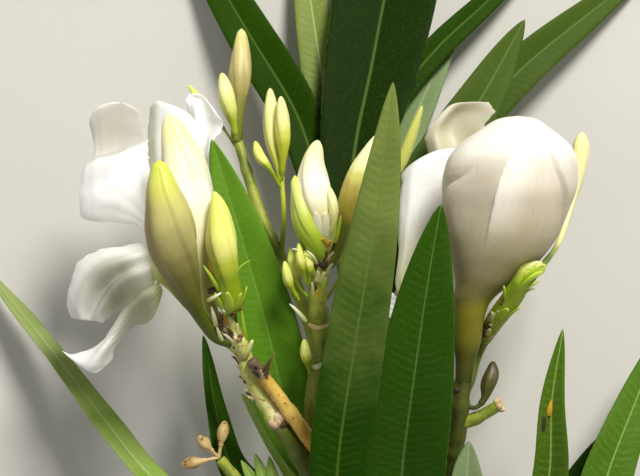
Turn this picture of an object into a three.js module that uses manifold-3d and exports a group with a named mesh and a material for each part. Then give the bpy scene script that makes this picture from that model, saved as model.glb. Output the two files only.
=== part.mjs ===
// A flowering oleander branch, cut and lying on a table, in millimetres. X is across the branch, Y runs from
// its cut end to its tips, and Z is up from the table. Each stem, leaf, bud and bloom is a closed body of its
// own. A piece that grows from another starts on the axis of that limb and is cut back to just clear of it.

import * as THREE from 'three';
import { ParametricGeometry } from 'three/addons/geometries/ParametricGeometry.js';
import { mergeVertices } from 'three/addons/utils/BufferGeometryUtils.js';
import Module from 'manifold-3d';

const wasm = await Module();
wasm.setup();

// Driving dimensions
const GAP = 0.3;
const LEAF_THICKNESS_SHARE = 1 / 75;
const LEAF_STALK_WIDTH = 2.6;
const LEAF_FOLD = 0.22;
const PETAL_THICKNESS = 0.9;
const PETALS = 5;
const THROAT_RADIUS = 3.2;
const SMALL_BUD = 1.3;

// The middle of the branch's box, seen from above, which becomes the origin
const MIDDLE = [-0.25, -6.65];

// Counts of facets
const STEM_SIDES = 10;
const STEM_STEPS = 2;
const LEAF_SIDES = 8;
const LEAF_STEPS = 11;
const BUD_SIDES = 10;
const BLOOM_SIDES = 20;

const UP = [0, 0, 1];

// Limbs: a centre line in millimetres, and the radius at its two ends
const LIMBS = {
  main_stem: {
    points: [
      [15, -132, 3], [13, -106, 13.5], [10, -80, 24.5], [5.5, -57, 32], [-1, -36, 36.5],
      [0.5, -21.5, 40.5], [-0.5, -12.5, 43], [0.5, -3, 45],
    ],
    radius: [3.4, 1.8],
  },
  left_flower_stem: {
    from: 'main_stem',
    points: [
      [8, -69, 28.6], [1.8, -57, 35], [-3.2, -46, 38.6], [-9, -36.4, 41], [-12.9, -29.6, 42.7],
      [-16, -21.8, 44.9], [-18.7, -15.5, 47],
    ],
    radius: [2.1, 1.65],
  },
  right_flower_stem: {
    from: 'main_stem',
    points: [
      [10.3, -82, 23.8], [19, -70, 26.5], [23.6, -58, 31.5], [26.3, -48, 37.5], [27.7, -39.6, 42.3],
      [28.2, -32.5, 45], [28.7, -28.5, 45.5],
    ],
    radius: [2.1, 1.7],
  },
  back_flower_stem: {
    from: 'main_stem',
    points: [[0.2, -25, 39.3], [-3, -15, 37], [-7, -6, 33], [-12, 4, 31], [-17.5, 21.5, 28]],
    radius: [1.4, 1],
  },
  back_leafy_shoot: {
    from: 'main_stem',
    points: [[2, -46, 34.3], [3.5, -38, 30], [4, -25, 28.5], [5.5, -1, 28]],
    radius: [1.6, 1.1],
  },
  spent_flower_stem: {
    from: 'main_stem',
    points: [[9, -76, 26], [-1, -66, 31], [-12, -56, 33], [-20.5, -45.5, 34.5]],
    radius: [1.5, 1.1],
  },
  dead_flower_stalk: {
    from: 'main_stem',
    points: [[2.5, -47, 34.4], [-1.9, -41, 40.5], [-8.6, -31.5, 44], [-13.7, -24.3, 47]],
    radius: [1.3, 1.1],
  },
  left_cut_stub: {
    from: 'left_flower_stem',
    points: [[-15.2, -23.8, 44.3], [-15.6, -22.5, 47], [-16.3, -19.7, 48.9]],
    radius: [0.9, 0.7],
  },
  right_cut_stub: {
    from: 'right_flower_stem',
    points: [[27.9, -37.5, 43.2], [31.5, -36, 44.5], [36, -33.3, 45]],
    radius: [1.3, 1.1],
  },
};

// Leaves: a centre line, the greatest width, and where the leaf is turned on its side, the directions that its
// upper face has at its foot and at its tip
const LEAVES = {
  leaf_front_centre: {
    from: 'main_stem',
    points: [
      [10, -80, 24.5], [6, -72, 34], [4, -60, 43], [3.4, -46.5, 50], [7, -19, 59], [10.3, 1.5, 62.5],
      [12.4, 16, 64.5], [13.8, 29.5, 66],
    ],
    width: 11.8,
  },
  leaf_front_right: {
    from: 'main_stem',
    points: [
      [11.7, -92, 19.5], [15.5, -84, 26], [16, -70, 32], [16.5, -47.5, 42], [18.5, -27.5, 51], [21.3, -6, 56.5],
      [23.4, 6.5, 58],
    ],
    width: 17,
  },
  leaf_left: {
    from: 'main_stem',
    points: [
      [6.5, -62, 30.6], [0.5, -53, 28], [-5.8, -42, 29], [-8.5, -33.5, 31.5], [-11, -20, 35], [-16, -1, 38],
      [-22, 20, 40],
    ],
    width: 12.4,
  },
  leaf_back_tall: {
    from: 'back_leafy_shoot',
    points: [[5.3, -2.5, 28], [7.5, 19.5, 22], [11, 36.5, 16], [14, 52, 11], [21, 86, 4], [28.5, 120, 0.1]],
    width: 22.5,
  },
  leaf_back_left: {
    from: 'back_leafy_shoot',
    points: [
      [5.2, -6, 28], [2.3, -1, 26.5], [0.5, 8, 22], [-4.5, 25.5, 16.5], [-16, 45.5, 9.5], [-33.5, 75.5, 0.1],
    ],
    width: 10.5,
  },
  leaf_back_pale: {
    from: 'back_leafy_shoot',
    points: [[4.9, -9.5, 28.1], [4.6, -4, 24], [4, 10, 17], [0.2, 37, 10], [-2, 52, 7], [-5, 74, 0.1]],
    width: 9,
  },
  leaf_back_right: {
    from: 'back_leafy_shoot',
    points: [
      [5.2, -6, 28], [8.6, -0.5, 26], [11, 9, 21.5], [17, 28, 14.5], [26, 40, 11], [37.5, 52, 7], [57, 72, 0.1],
    ],
    width: 7,
  },
  leaf_back_small: {
    from: 'back_leafy_shoot',
    points: [[4.3, -16.5, 28.3], [6.5, -8, 24], [12, 6, 17], [18, 22, 10.5], [25, 37, 7], [30, 47, 5]],
    width: 8,
  },
  leaf_right_high: {
    from: 'back_leafy_shoot',
    points: [[4.2, -21, 28.4], [12.5, -6.5, 28], [24, 14, 22], [34.5, 30, 18], [44.5, 47.5, 12.5]],
    width: 11.8,
  },
  leaf_right_far: {
    from: 'back_leafy_shoot',
    points: [[4, -27, 28.5], [14, -8, 21.5], [24, 14, 16], [42, 35, 11.5], [58, 48.5, 7], [76, 62, 0.1]],
    width: 9.8,
  },
  leaf_low_left_long: {
    from: 'main_stem',
    points: [
      [11, -86, 22], [-6, -74, 27], [-24, -60, 27], [-36, -50, 25], [-46, -39, 20], [-59.5, -23, 13],
      [-80.5, -0.5, 0.1],
    ],
    width: 7,
    faces: [[0.4, 0.4, 0.8], [0.8, 0.75, 0.6]],
  },
  leaf_right_folded: {
    from: 'main_stem',
    points: [
      [12.3, -98, 17], [30, -84, 22], [43, -68, 27.5], [47.3, -49.5, 32], [47.5, -33, 36],
      [49.5, -18.5, 38],
    ],
    width: 8.2,
    fold: 0.7,
  },
  leaf_right_edge: {
    from: 'main_stem',
    points: [
      [13, -105, 14], [36, -92, 21], [53, -72, 25.5], [61.5, -47, 25], [67, -34, 23], [74.2, -17.5, 20],
    ],
    width: 12,
  },
  leaf_right_dark: {
    from: 'main_stem',
    points: [
      [13.4, -110, 11.9], [34, -94, 14], [47, -72, 15.5], [54, -56, 15], [60, -46, 13.5], [64, -41, 12],
    ],
    width: 10,
  },
  leaf_low_grey: {
    from: 'right_flower_stem',
    points: [
      [22.8, -60, 30.5], [28.1, -57.4, 39.4], [29.5, -51, 44.2], [29.4, -46.5, 45.2], [29.8, -40.6, 45.6],
    ],
    width: 8,
  },
  leaf_left_narrow: {
    from: 'main_stem',
    points: [
      [8, -70, 28.2], [-3, -62, 27], [-12, -55, 27.2], [-18.5, -48, 27.5], [-22, -36, 27], [-24.5, -20.5, 25],
    ],
    width: 8,
    faces: [[0.3, 0.2, 1], [0.9, 0.2, 0.4]],
  },
  leaf_left_bright: {
    from: 'main_stem',
    points: [[8.5, -72, 27.5], [1, -61, 22], [-4.2, -50.5, 23], [-10.5, -41.5, 23.5], [-16.5, -33, 23]],
    width: 7,
    faces: [[0, 0, 1], [0.6, 0.4, 0.7]],
  },
  leaf_foot_left: {
    from: 'main_stem',
    points: [[13.3, -113, 10.7], [2, -108, 16], [-16, -100, 17], [-36, -88, 11], [-54, -74, 0.1]],
    width: 13,
  },
  leaf_foot_right: {
    from: 'main_stem',
    points: [[13.8, -118, 8.8], [28, -116, 14], [46, -110, 14], [66, -100, 7], [80, -90, 0.1]],
    width: 13,
  },
};

// Three small leaves at one place on a stem
const YOUNG_LEAVES = {
  from: 'spent_flower_stem',
  foot: [-8, -59.5, 32.2],
  tips: [[-16.4, -46, 31.5], [-13.5, -44.5, 32.5], [-10.5, -45, 33.5]],
  width: 3,
  steps: 6,
};

// Buds: a centre line, the greatest radius, and the share of the length that is stalk
const BUDS = {
  bud_left_olive: {
    from: 'left_flower_stem',
    points: [
      [-16.3, -21, 45.2], [-20.4, -19.8, 46.2], [-22.9, -16.6, 49.5], [-25.1, -12.1, 54.5], [-26.7, -6.7, 58.5],
      [-28, -1.5, 62], [-29, 5.3, 65.5], [-29.7, 9, 66.8], [-30.3, 14.6, 67.6],
    ],
    radius: 4.7,
    profile: [
      [0.12, 0.28], [0.22, 0.29], [0.3, 0.32], [0.36, 0.44], [0.42, 0.57], [0.5, 0.74], [0.58, 0.9], [0.64, 1],
      [0.71, 1], [0.79, 0.87], [0.88, 0.62], [0.94, 0.39], [0.985, 0.17],
    ],
  },
  bud_left_white: {
    from: 'left_flower_stem',
    points: [
      [-17.6, -18.2, 46.1], [-20.8, -15.9, 45.6], [-22.5, -12, 46.6], [-24.8, -2.5, 50.2], [-26, 7.5, 51.7],
      [-27.2, 15.3, 52.2], [-29.8, 24.2, 52.7],
    ],
    radius: 5.3,
    profile: [
      [0.08, 0.2], [0.14, 0.28], [0.21, 0.4], [0.34, 0.66], [0.48, 0.92], [0.6, 1], [0.74, 0.9], [0.85, 0.64],
      [0.935, 0.36], [0.985, 0.12],
    ],
  },
  bud_left_green: {
    from: 'left_flower_stem',
    points: [
      [-18.4, -16.2, 46.8], [-17.8, -13.4, 49.6], [-18, -9.8, 52.2], [-18.5, -5.5, 54.7], [-19.1, -0.6, 56.4],
      [-19.6, 5, 57.2], [-20.4, 9, 57.5],
    ],
    radius: 3,
    profile: [
      [0.08, 0.46], [0.12, 0.46], [0.16, 0.8], [0.21, 0.92], [0.29, 0.84], [0.38, 0.78], [0.47, 0.86],
      [0.57, 0.96], [0.65, 1], [0.74, 0.89], [0.86, 0.64], [0.94, 0.4], [0.985, 0.18],
    ],
  },
  bud_centre_white: {
    from: 'main_stem',
    points: [
      [0.3, -4.8, 44.6], [0.4, -1.5, 45.6], [0, 2, 46.7], [-0.7, 6.3, 47.5], [-1.3, 10.1, 48], [-1.4, 14.9, 48.3],
      [-0.4, 19.4, 48.3],
    ],
    radius: 3.8,
    profile: [
      [0.08, 0.35], [0.14, 0.48], [0.2, 0.66], [0.28, 0.8], [0.4, 0.96], [0.52, 1], [0.62, 0.91], [0.72, 0.77],
      [0.81, 0.6], [0.9, 0.44], [0.96, 0.29], [0.99, 0.14],
    ],
  },
  bud_centre_cream: {
    from: 'main_stem',
    points: [
      [0.1, -7, 44.2], [2.2, -4.8, 43.6], [3.6, -1.6, 43.2], [4.5, 2, 43.1], [5.3, 5.6, 43.2], [6.4, 9.6, 43.4],
      [7.8, 13.6, 43.8], [10.6, 19.1, 44], [12.2, 21.5, 44],
    ],
    radius: 2.05,
    profile: [
      [0.05, 0.45], [0.1, 0.6], [0.21, 0.73], [0.33, 0.84], [0.45, 0.96], [0.58, 1], [0.71, 0.88], [0.82, 0.63],
      [0.91, 0.4], [0.98, 0.15],
    ],
  },
  bud_centre_slim: {
    from: 'main_stem',
    points: [[-0.2, -9, 43.8], [-3.2, -2.5, 44], [-4.6, 3, 44.3], [-5, 8, 44.6], [-5.3, 12, 45.2]],
    radius: 1, stalk: 0.3,
  },
  bud_centre_small: {
    from: 'main_stem',
    points: [[-0.4, -13.5, 42.8], [-3.5, -10.5, 43.3], [-5.3, -6, 43.8], [-5.8, -2, 44]],
    radius: 1.2, stalk: 0.3,
  },
  bud_right_slim: {
    from: 'main_stem',
    points: [
      [-0.3, -15, 42.3], [7, -3, 40], [12, 7.5, 39.5], [16.2, 14.8, 39.3], [19.1, 22.3, 39.2],
      [20.8, 27, 39],
    ],
    radius: 1.2, stalk: 0.5,
  },
  bud_right_tall: {
    from: 'right_flower_stem',
    points: [
      [28.4, -31.5, 45.1], [30.2, -29, 42], [31.3, -25.1, 41], [32.6, -21.6, 42], [34.7, -16.5, 47.4],
      [37.6, -11.6, 53.2], [39.5, -7.8, 56.8], [41.1, -6.2, 56.8], [43.1, -5.5, 54.2], [45.1, -3.9, 50],
      [47.2, -1.8, 45.2], [48.7, 0.8, 42.3], [50.9, 7.7, 39.5], [52.7, 15.8, 39.4], [53.2, 21.6, 39.5],
    ],
    radius: 2,
    profile: [
      [0.15, 0.5], [0.2, 0.75], [0.26, 0.92], [0.32, 1], [0.39, 1], [0.43, 0.86], [0.46, 0.96], [0.48, 0.72],
      [0.52, 0.4], [0.56, 0.3], [0.64, 0.26], [0.7, 0.3], [0.77, 0.45], [0.84, 0.65], [0.9, 0.84], [0.95, 0.88],
      [0.98, 0.66], [0.992, 0.35],
    ],
  },
  bud_right_spent: {
    from: 'right_flower_stem',
    points: [
      [28.2, -33.4, 44.8], [31.1, -33.8, 46], [32.7, -32.1, 46], [33.5, -29.5, 45.8], [34.3, -27.2, 45.5],
      [34.6, -24.6, 45.2],
    ],
    radius: 1.55, stalk: 0.3,
  },
  bud_back_cream: {
    from: 'back_flower_stem',
    points: [[-17.4, 20, 28.2], [-17.5, 27, 28], [-17, 36, 27], [-17, 44, 26]],
    radius: 2.5, stalk: 0.15,
  },
  bud_back_green: {
    from: 'back_flower_stem',
    points: [[-17.1, 19, 28.4], [-20, 24.5, 30], [-21.3, 30, 31], [-21.8, 34.5, 31]],
    radius: 1.7, stalk: 0.15,
  },
  bud_back_slim: {
    from: 'back_flower_stem',
    points: [[-16.9, 18, 28.5], [-21, 24, 27.5], [-24.5, 28, 28], [-27.5, 32, 28.5]],
    radius: 0.9, stalk: 0.3,
  },
  bud_back_pair_left: {
    from: 'back_flower_stem',
    points: [[-8, -3.5, 32.6], [-7.5, 4, 32.5], [-8, 12, 31.5], [-10.2, 21, 30.5], [-11, 31, 30]],
    radius: 1.6, stalk: 0.5,
  },
  bud_back_pair_right: {
    from: 'bud_back_pair_left',
    points: [[-8, 11.5, 31.6], [-7, 16, 32.5], [-6.8, 20.5, 33], [-7.3, 28.5, 33]],
    radius: 1.5, stalk: 0.2,
  },
  bud_back_small: {
    from: 'bud_back_pair_left',
    points: [[-7.8, 10, 31.8], [-10.5, 14.5, 33], [-12.5, 17, 33.3], [-13.4, 20, 33.5]],
    radius: 1.1, stalk: 0.3,
  },
};

// Withered calyxes left where flowers have dropped, three at one place on a stem
const SPENT_CALYXES = {
  from: 'spent_flower_stem',
  foot: [-20.8, -45.1, 34.5],
  tips: [[-25, -40.5, 36], [-19.5, -37.5, 35], [-28.5, -46.5, 35.5]],
  radius: 1.2, stalk: 0.3,
};

// The closed bloom: a centre line from its stem through its tube to its crown, and the radius at shares of it
const CLOSED_BLOOM = {
  from: 'right_flower_stem',
  axis: [0, 1, 0],
  points: [
    [28.6, -30, 45.3], [29.3, -20.5, 47], [30.3, -12.2, 49], [33, -8.3, 49.6], [35.1, -3, 50], [36.4, 5.5, 50],
    [38, 15.5, 50], [38.9, 24.1, 50],
  ],
  radii: [
    [0, 1.6], [0.09, 1.9], [0.17, 2.7], [0.25, 3], [0.325, 3.6], [0.37, 5], [0.41, 6.4], [0.515, 9.5],
    [0.6, 11.3], [0.67, 12.3], [0.75, 13.1], [0.83, 12.6], [0.875, 11.6], [0.905, 10.3], [0.95, 7.1], [0.988, 3.9],
  ],
};

// Open flowers: the centre line of the tube up to the throat, and each petal's centre line and width
const OPEN_FLOWERS = {
  bloom_left_open: {
    from: 'left_flower_stem',
    tube: [[-17.2, -18.9, 45.7], [-20.5, -18.2, 41.5], [-27, -12.5, 40.8], [-31, -7.5, 40], [-32.8, -5, 39.8]],
    petals: [
      {
        points: [[-32, -6, 39.5], [-36.5, 0, 38], [-41, 6.5, 36.5], [-42.3, 16, 35.5], [-41.8, 28, 34.5]],
        width: 13.5,
      },
      { points: [[-31.5, -5, 40], [-30.5, 7.5, 40.5], [-30.3, 18, 39.5], [-31, 28.5, 38.5]], width: 10 },
      { points: [[-31, -5, 39], [-26.5, 8, 36], [-24.5, 20, 34.5], [-24, 29.5, 33.5]], width: 8 },
      { points: [[-32.5, -6, 40], [-38, -7.5, 41], [-44, -9, 41.5], [-50, -11, 41]], width: 15.5 },
      { points: [[-32.5, -7.5, 41], [-36, -13.5, 44.5], [-42.5, -21.5, 46.5], [-51, -24, 45.5]], width: 7 },
    ],
  },
  bloom_right_back: {
    from: 'right_flower_stem',
    tube: [[28, -34, 44.7], [25, -25, 39.5], [21.5, -17, 35.5], [20, -12, 34]],
    petals: [
      { points: [[19.8, -13, 34.5], [18.5, -3, 35], [19.8, 10, 34.8], [22, 18.5, 33]], width: 14 },
      { points: [[20.3, -13, 33.5], [26, 2, 30], [29, 18, 28], [30, 29.5, 28]], width: 15 },
      { points: [[20.8, -13.2, 33], [29, -6, 29.5], [37, 3, 27.5], [43, 10, 27]], width: 12 },
      { points: [[20.2, -13.5, 32.5], [25, -11, 27.5], [30, -6, 24], [34, -1, 22]], width: 10 },
      { points: [[19.5, -13.5, 33.5], [15, -14, 32.5], [11.5, -13, 32.5], [8, -12, 33.5]], width: 10 },
    ],
  },
};

// Radii at shares of the length, as shares of the greatest one: a bud from its calyx to its tip, and a flower's
// stalk, calyx, tube and throat
const BUD_PROFILE = [
  [0, 0.3], [0.06, 0.42], [0.16, 0.44], [0.3, 0.66], [0.45, 0.92], [0.58, 1], [0.72, 0.9], [0.84, 0.64],
  [0.93, 0.36], [0.985, 0.12],
];
const TUBE_PROFILE = [
  [0, 0], [0.02, 0.3], [0.3, 0.3], [0.36, 0.55], [0.5, 0.42], [0.75, 0.5], [0.9, 0.8], [1, 1], [1, 0],
];

const COLOURS = {
  stem: { color: 0x8c9a4e, roughness: 0.6 },
  dead: { color: 0xb88a45, roughness: 0.8 },
  leaf: { color: 0x4f7a2c, roughness: 0.45 },
  bud: { color: 0xdfe3a0, roughness: 0.5 },
  bloom: { color: 0xf6f3ea, roughness: 0.55 },
};

// Curves and frames

function curveThrough(points) {
  const places = points.map((point) => new THREE.Vector3(...point));
  return new THREE.CatmullRomCurve3(places, false, 'centripetal');
}

// The place at a share of the curve's length, with its direction there and two more square to that. facing is
// the one nearest to the wanted face, which turns from the first to the second of its values along the curve.
function frameAt(curve, share, { faces = [UP, UP], axis }) {
  const along = axis ? new THREE.Vector3(...axis) : curve.getTangentAt(share);
  const face = new THREE.Vector3(...faces[0]).lerp(new THREE.Vector3(...faces[1]), share);
  const across = new THREE.Vector3().crossVectors(along, face).normalize();
  const facing = new THREE.Vector3().crossVectors(across, along);
  return { centre: curve.getPointAt(share), along, across, facing };
}

const between = (low, high, share) => low + (high - low) * share;

// Closed bodies

function solidOf(geometry) {
  geometry.deleteAttribute('normal');
  geometry.deleteAttribute('uv');
  const merged = mergeVertices(geometry);
  const corners = merged.index.array;
  const triangles = [];
  for (let i = 0; i < corners.length; i += 3) {
    const [a, b, c] = corners.slice(i, i + 3);
    if (a !== b && b !== c && c !== a) triangles.push(a, b, c);
  }
  return new wasm.Manifold(new wasm.Mesh({
    numProp: 3,
    vertProperties: merged.attributes.position.array,
    triVerts: Uint32Array.from(triangles),
  }));
}

function geometryOf(solid) {
  const { vertProperties, triVerts } = solid.getMesh();
  const geometry = new THREE.BufferGeometry();
  geometry.setAttribute('position', new THREE.BufferAttribute(vertProperties, 3));
  geometry.setIndex(new THREE.BufferAttribute(triVerts, 1));
  geometry.computeVertexNormals();
  return geometry;
}

// A closed body through rings along a curve. outline gives a ring's place across and facing at an angle round
// it, and the first and last rings are single points. beyond moves a ring past the curve's end. Nothing reaches
// below the table.
function loft(spec, rings, sides, outline) {
  const curve = curveThrough(spec.points);
  const surface = (turn, step, target) => {
    const ring = rings[Math.round(step * (rings.length - 1))];
    const { centre, along, across, facing } = frameAt(curve, ring.share, spec);
    const [sideways, up] = outline(turn * 2 * Math.PI, ring);
    target.copy(centre).addScaledVector(across, sideways).addScaledVector(facing, up);
    target.addScaledVector(along, ring.beyond ?? 0);
    target.z = Math.max(target.z, 0);
  };
  return solidOf(new ParametricGeometry(surface, sides, rings.length - 1));
}

const circle = (angle, ring) => [ring.radius * Math.cos(angle), -ring.radius * Math.sin(angle)];

// A tapering limb with flat ends, thicker and longer by grow where it is used as a cutter
function limb(spec, grow = 0) {
  const steps = STEM_STEPS * (spec.points.length - 1);
  const rings = Array.from({ length: steps + 1 }, (_, i) => (
    { share: i / steps, radius: between(...spec.radius, i / steps) + grow }
  ));
  rings[0].beyond = -grow;
  rings[steps].beyond = grow;
  const capped = [{ ...rings[0], radius: 0 }, ...rings, { ...rings[steps], radius: 0 }];
  return loft(spec, capped, STEM_SIDES, circle);
}

// The share of its greatest width that a leaf has at a share of its length: lance-shaped, on a short stalk
function lance(share, stalk) {
  if (share === 0 || share === 1) return 0;
  return Math.max((4 * share * (1 - share)) ** 0.75, stalk * (1 - share));
}

// A petal is narrow where it leaves the throat and broad and blunt at its end.
function paddle(share) {
  const peak = 0.74;
  const foot = 0.22;
  if (share === 0 || share === 1) return 0;
  return Math.max((share ** 0.7 * Math.sqrt(1 - share ** 6)) / peak, share < 0.5 ? foot : 0);
}

// A thin blade, lens-shaped across, whose two halves rise from the midrib by fold
function blade(spec, shares, width, thickness, fold) {
  const rings = shares.map((share) => ({ share, half: (spec.width / 2) * width(share) }));
  const lens = (angle, ring) => {
    const side = Math.cos(angle);
    const thick = ring.half > 0 ? thickness / 2 : 0;
    return [ring.half * side, fold * ring.half * Math.abs(side) - thick * Math.sin(angle)];
  };
  return loft(spec, rings, LEAF_SIDES, lens);
}

function leaf(spec) {
  const thickness = curveThrough(spec.points).getLength() * LEAF_THICKNESS_SHARE;
  const stalk = LEAF_STALK_WIDTH / spec.width;
  const steps = spec.steps ?? LEAF_STEPS;
  const shares = Array.from({ length: steps + 1 }, (_, i) => i / steps);
  return blade(spec, shares, (share) => lance(share, stalk), thickness, spec.fold ?? LEAF_FOLD);
}

function petal(spec) {
  const shares = [0, 0.08, 0.25, 0.42, 0.6, 0.76, 0.88, 0.96, 1];
  return blade(spec, shares, paddle, PETAL_THICKNESS, 0.1);
}

// Rings from pairs of a share of the length and a radius there
const ringsOf = (pairs) => pairs.map(([share, radius]) => ({ share, radius }));

// A closed bud on its stalk. The edges of its five rolled petals run up it as ridges that turn with it.
function bud(spec, grow = 0) {
  const ridge = 0.04;
  const turns = 1.2;
  const body = spec.profile ?? BUD_PROFILE.map(([share, radius]) => [between(spec.stalk, 1, share), radius]);
  const [start, stalk] = body[0];
  const rings = ringsOf([[0, 0], [0.01, stalk], [start / 2, stalk], ...body, [1, 0]]);
  const rolled = (angle, { share, radius }) => {
    const reach = radius * spec.radius * (1 + ridge * Math.cos(PETALS * angle)) + (radius > 0 ? grow : 0);
    return circle(angle + turns * share, { radius: reach });
  };
  return loft(spec, rings, spec.radius > SMALL_BUD ? BUD_SIDES : PETALS, rolled);
}

// The closed bloom. Its five petals lap round it, each rising to its free edge and dropping to the next.
function closedBloom(spec) {
  const lap = 0.07;
  const turns = 0.9;
  const rings = ringsOf([[0, 0], ...spec.radii, [1, 0]]);
  const lapped = (angle, ring) => {
    const through = ((PETALS * angle) / (2 * Math.PI) + 1e-6) % 1;
    const opened = THREE.MathUtils.smoothstep(ring.share, 0.3, 0.5);
    const reach = ring.radius * (1 + lap * opened * (through - 0.5));
    return circle(angle + turns * ring.share, { radius: reach });
  };
  return loft(spec, rings, BLOOM_SIDES, lapped);
}

// A flower's stalk and tube, widening to its throat
function tube(points) {
  const rings = ringsOf(TUBE_PROFILE.map(([share, radius]) => [share, radius * THROAT_RADIUS]));
  return loft({ points }, rings, STEM_SIDES, circle);
}

function openFlower(spec) {
  return spec.petals.reduce((flower, one) => flower.add(petal(one)), tube(spec.tube));
}

// Several pieces that spread from one foot, joined into one body
function tuft(spec, make) {
  const arch = 0.6;
  const middle = (tip) => tip.map((value, i) => between(spec.foot[i], value, 0.5) + (i === 2 ? arch : 0));
  const pieces = spec.tips.map((tip) => make({ ...spec, points: [spec.foot, middle(tip), tip] }));
  return pieces.reduce((all, one) => all.add(one));
}

// Assembly

const branch = new THREE.Group();

// Adds a body as a named mesh, cut clear of what it grows from
function place(name, solid, colour, parent) {
  const cleared = parent ? solid.subtract(parent) : solid;
  const material = new THREE.MeshStandardMaterial({ ...COLOURS[colour], metalness: 0 });
  const mesh = new THREE.Mesh(geometryOf(cleared), material);
  mesh.name = name;
  mesh.position.set(-MIDDLE[0], -MIDDLE[1], 0);
  branch.add(mesh);
}

const cutter = (name) => (LIMBS[name] ? limb(LIMBS[name], GAP) : bud(BUDS[name], GAP));

Object.entries(LIMBS).forEach(([name, spec]) => {
  place(name, limb(spec), name.startsWith('dead') ? 'dead' : 'stem', spec.from && cutter(spec.from));
});
Object.entries(LEAVES).forEach(([name, spec]) => place(name, leaf(spec), 'leaf', cutter(spec.from)));
Object.entries(BUDS).forEach(([name, spec]) => place(name, bud(spec), 'bud', cutter(spec.from)));
Object.entries(OPEN_FLOWERS).forEach(([name, spec]) => {
  place(name, openFlower(spec), 'bloom', cutter(spec.from));
});
place('bloom_right_closed', closedBloom(CLOSED_BLOOM), 'bloom', cutter(CLOSED_BLOOM.from));
place('young_leaf_tuft', tuft(YOUNG_LEAVES, leaf), 'leaf', cutter(YOUNG_LEAVES.from));
place('spent_calyx_cluster', tuft(SPENT_CALYXES, bud), 'dead', cutter(SPENT_CALYXES.from));

export default branch;
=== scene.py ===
import math

import bmesh
import bpy
import numpy as np
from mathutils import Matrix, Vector, noise


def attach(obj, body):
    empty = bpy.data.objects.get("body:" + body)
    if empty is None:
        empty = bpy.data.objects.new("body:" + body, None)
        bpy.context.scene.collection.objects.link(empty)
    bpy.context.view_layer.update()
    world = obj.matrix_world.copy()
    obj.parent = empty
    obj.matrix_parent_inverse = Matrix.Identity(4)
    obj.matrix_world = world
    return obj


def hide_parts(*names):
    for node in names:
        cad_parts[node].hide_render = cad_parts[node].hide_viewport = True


# A flowering oleander branch, cut and lying on a pale floor, seen from straight above. The lists below are
# in millimetres, with X across the branch, Y from its cut end to its tips and Z up from the floor.

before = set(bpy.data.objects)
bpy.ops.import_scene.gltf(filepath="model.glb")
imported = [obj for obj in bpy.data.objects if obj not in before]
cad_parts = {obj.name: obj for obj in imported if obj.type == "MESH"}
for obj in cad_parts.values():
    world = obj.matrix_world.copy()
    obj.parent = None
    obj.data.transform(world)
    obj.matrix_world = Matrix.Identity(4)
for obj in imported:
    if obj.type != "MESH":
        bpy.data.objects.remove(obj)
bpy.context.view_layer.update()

MM = 0.001
MIDDLE = np.array([-0.25, -6.65, 0])
UP = (0, 0, 1)

# How fine the meshes are: the distance between two rings along, or the number of rings, and the points round
LIMB_STEP, LIMB_SIDES = 0.7, 28
LEAF_STEP, LEAF_SIDES = 0.45, 44
YOUNG_LEAF_RINGS, YOUNG_LEAF_SIDES = 40, 20
BUD_RINGS, BUD_SIDES = 90, 60
CLOSED_RINGS, CLOSED_SIDES = 160, 240
TUBE_RINGS, TUBE_SIDES = 50, 30
PETAL_RINGS, PETAL_SIDES = 90, 72
BRACT_RINGS, BRACT_SIDES = 16, 16
KNOB_RINGS, KNOB_SIDES = 9, 14
PRONG_SIDES = 16

# Driving sizes of the stems. A ring of scars rises by one share of the radius, and dips by another past it.
LIMB_RIM = 0.15
RING_RISE, RING_WIDTH = 0.14, 1.1
RING_DIP, DIP_PLACE, DIP_WIDTH = 0.06, 1.8, 0.6
BARK_LUMP, BARK_LUMP_SIZE = 0.05, 1.6

# Driving sizes of the leaves. The midrib is a groove on the upper face and a keel on the lower one.
LEAF_THICKNESS = 0.6
SMALL_LEAF_THICKNESS = 0.4
LEAF_STALK_WIDTH = 2.6
LEAF_FOLD = 0.22
FOLD_EASE = 0.4
LEAF_WAVE = 0.15
RIM_DROP = 0.22
VEIN_SPACING = 1.7
VEIN_SLANT = 0.55
VEIN_HEIGHT = 0.05
GROOVE_DEPTH, GROOVE_WIDTH = 0.16, 0.55
KEEL_DEPTH, KEEL_WIDTH = 0.5, 0.6

# Driving sizes of the buds and blooms. A lap is a share of the radius and a twist is in radians.
PETALS = 5
PETAL_THICKNESS = 0.45
RUFFLE, RUFFLE_SIZE = 0.35, 2.2
DENT, DENT_SIZE = 0.18, 5
CREASE = 0.05
THROAT_RADIUS = 3.2
BUD_LAP = 0.11
BUD_TWIST = 1.6
CLOSED_LAP = 0.08
BRACT_THICKNESS = 0.25
HUGGING_BRACT_THICKNESS = 0.3
BRACT_CURL = 0.25

# The camera's height over the floor, and how much of the floor it sees across
CAMERA_HEIGHT = 420
VIEW_WIDTH = 143.36
SENSOR_WIDTH = 36

# The floor's side in metres, and the lamps: the place and the size in metres, the power in watts, the tint
FLOOR_SIDE = 3
LAMPS = {
    "key": ((0.27, 0.6, 0.74), 0.26, 11.2, (1, 0.965, 0.9)),
    "fill": ((-0.7, -0.3, 0.8), 0.9, 1.2, (0.92, 0.96, 1)),
}
WORLD_TINT = (1, 0.97, 0.9, 1)
WORLD_STRENGTH = 0.28

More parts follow.
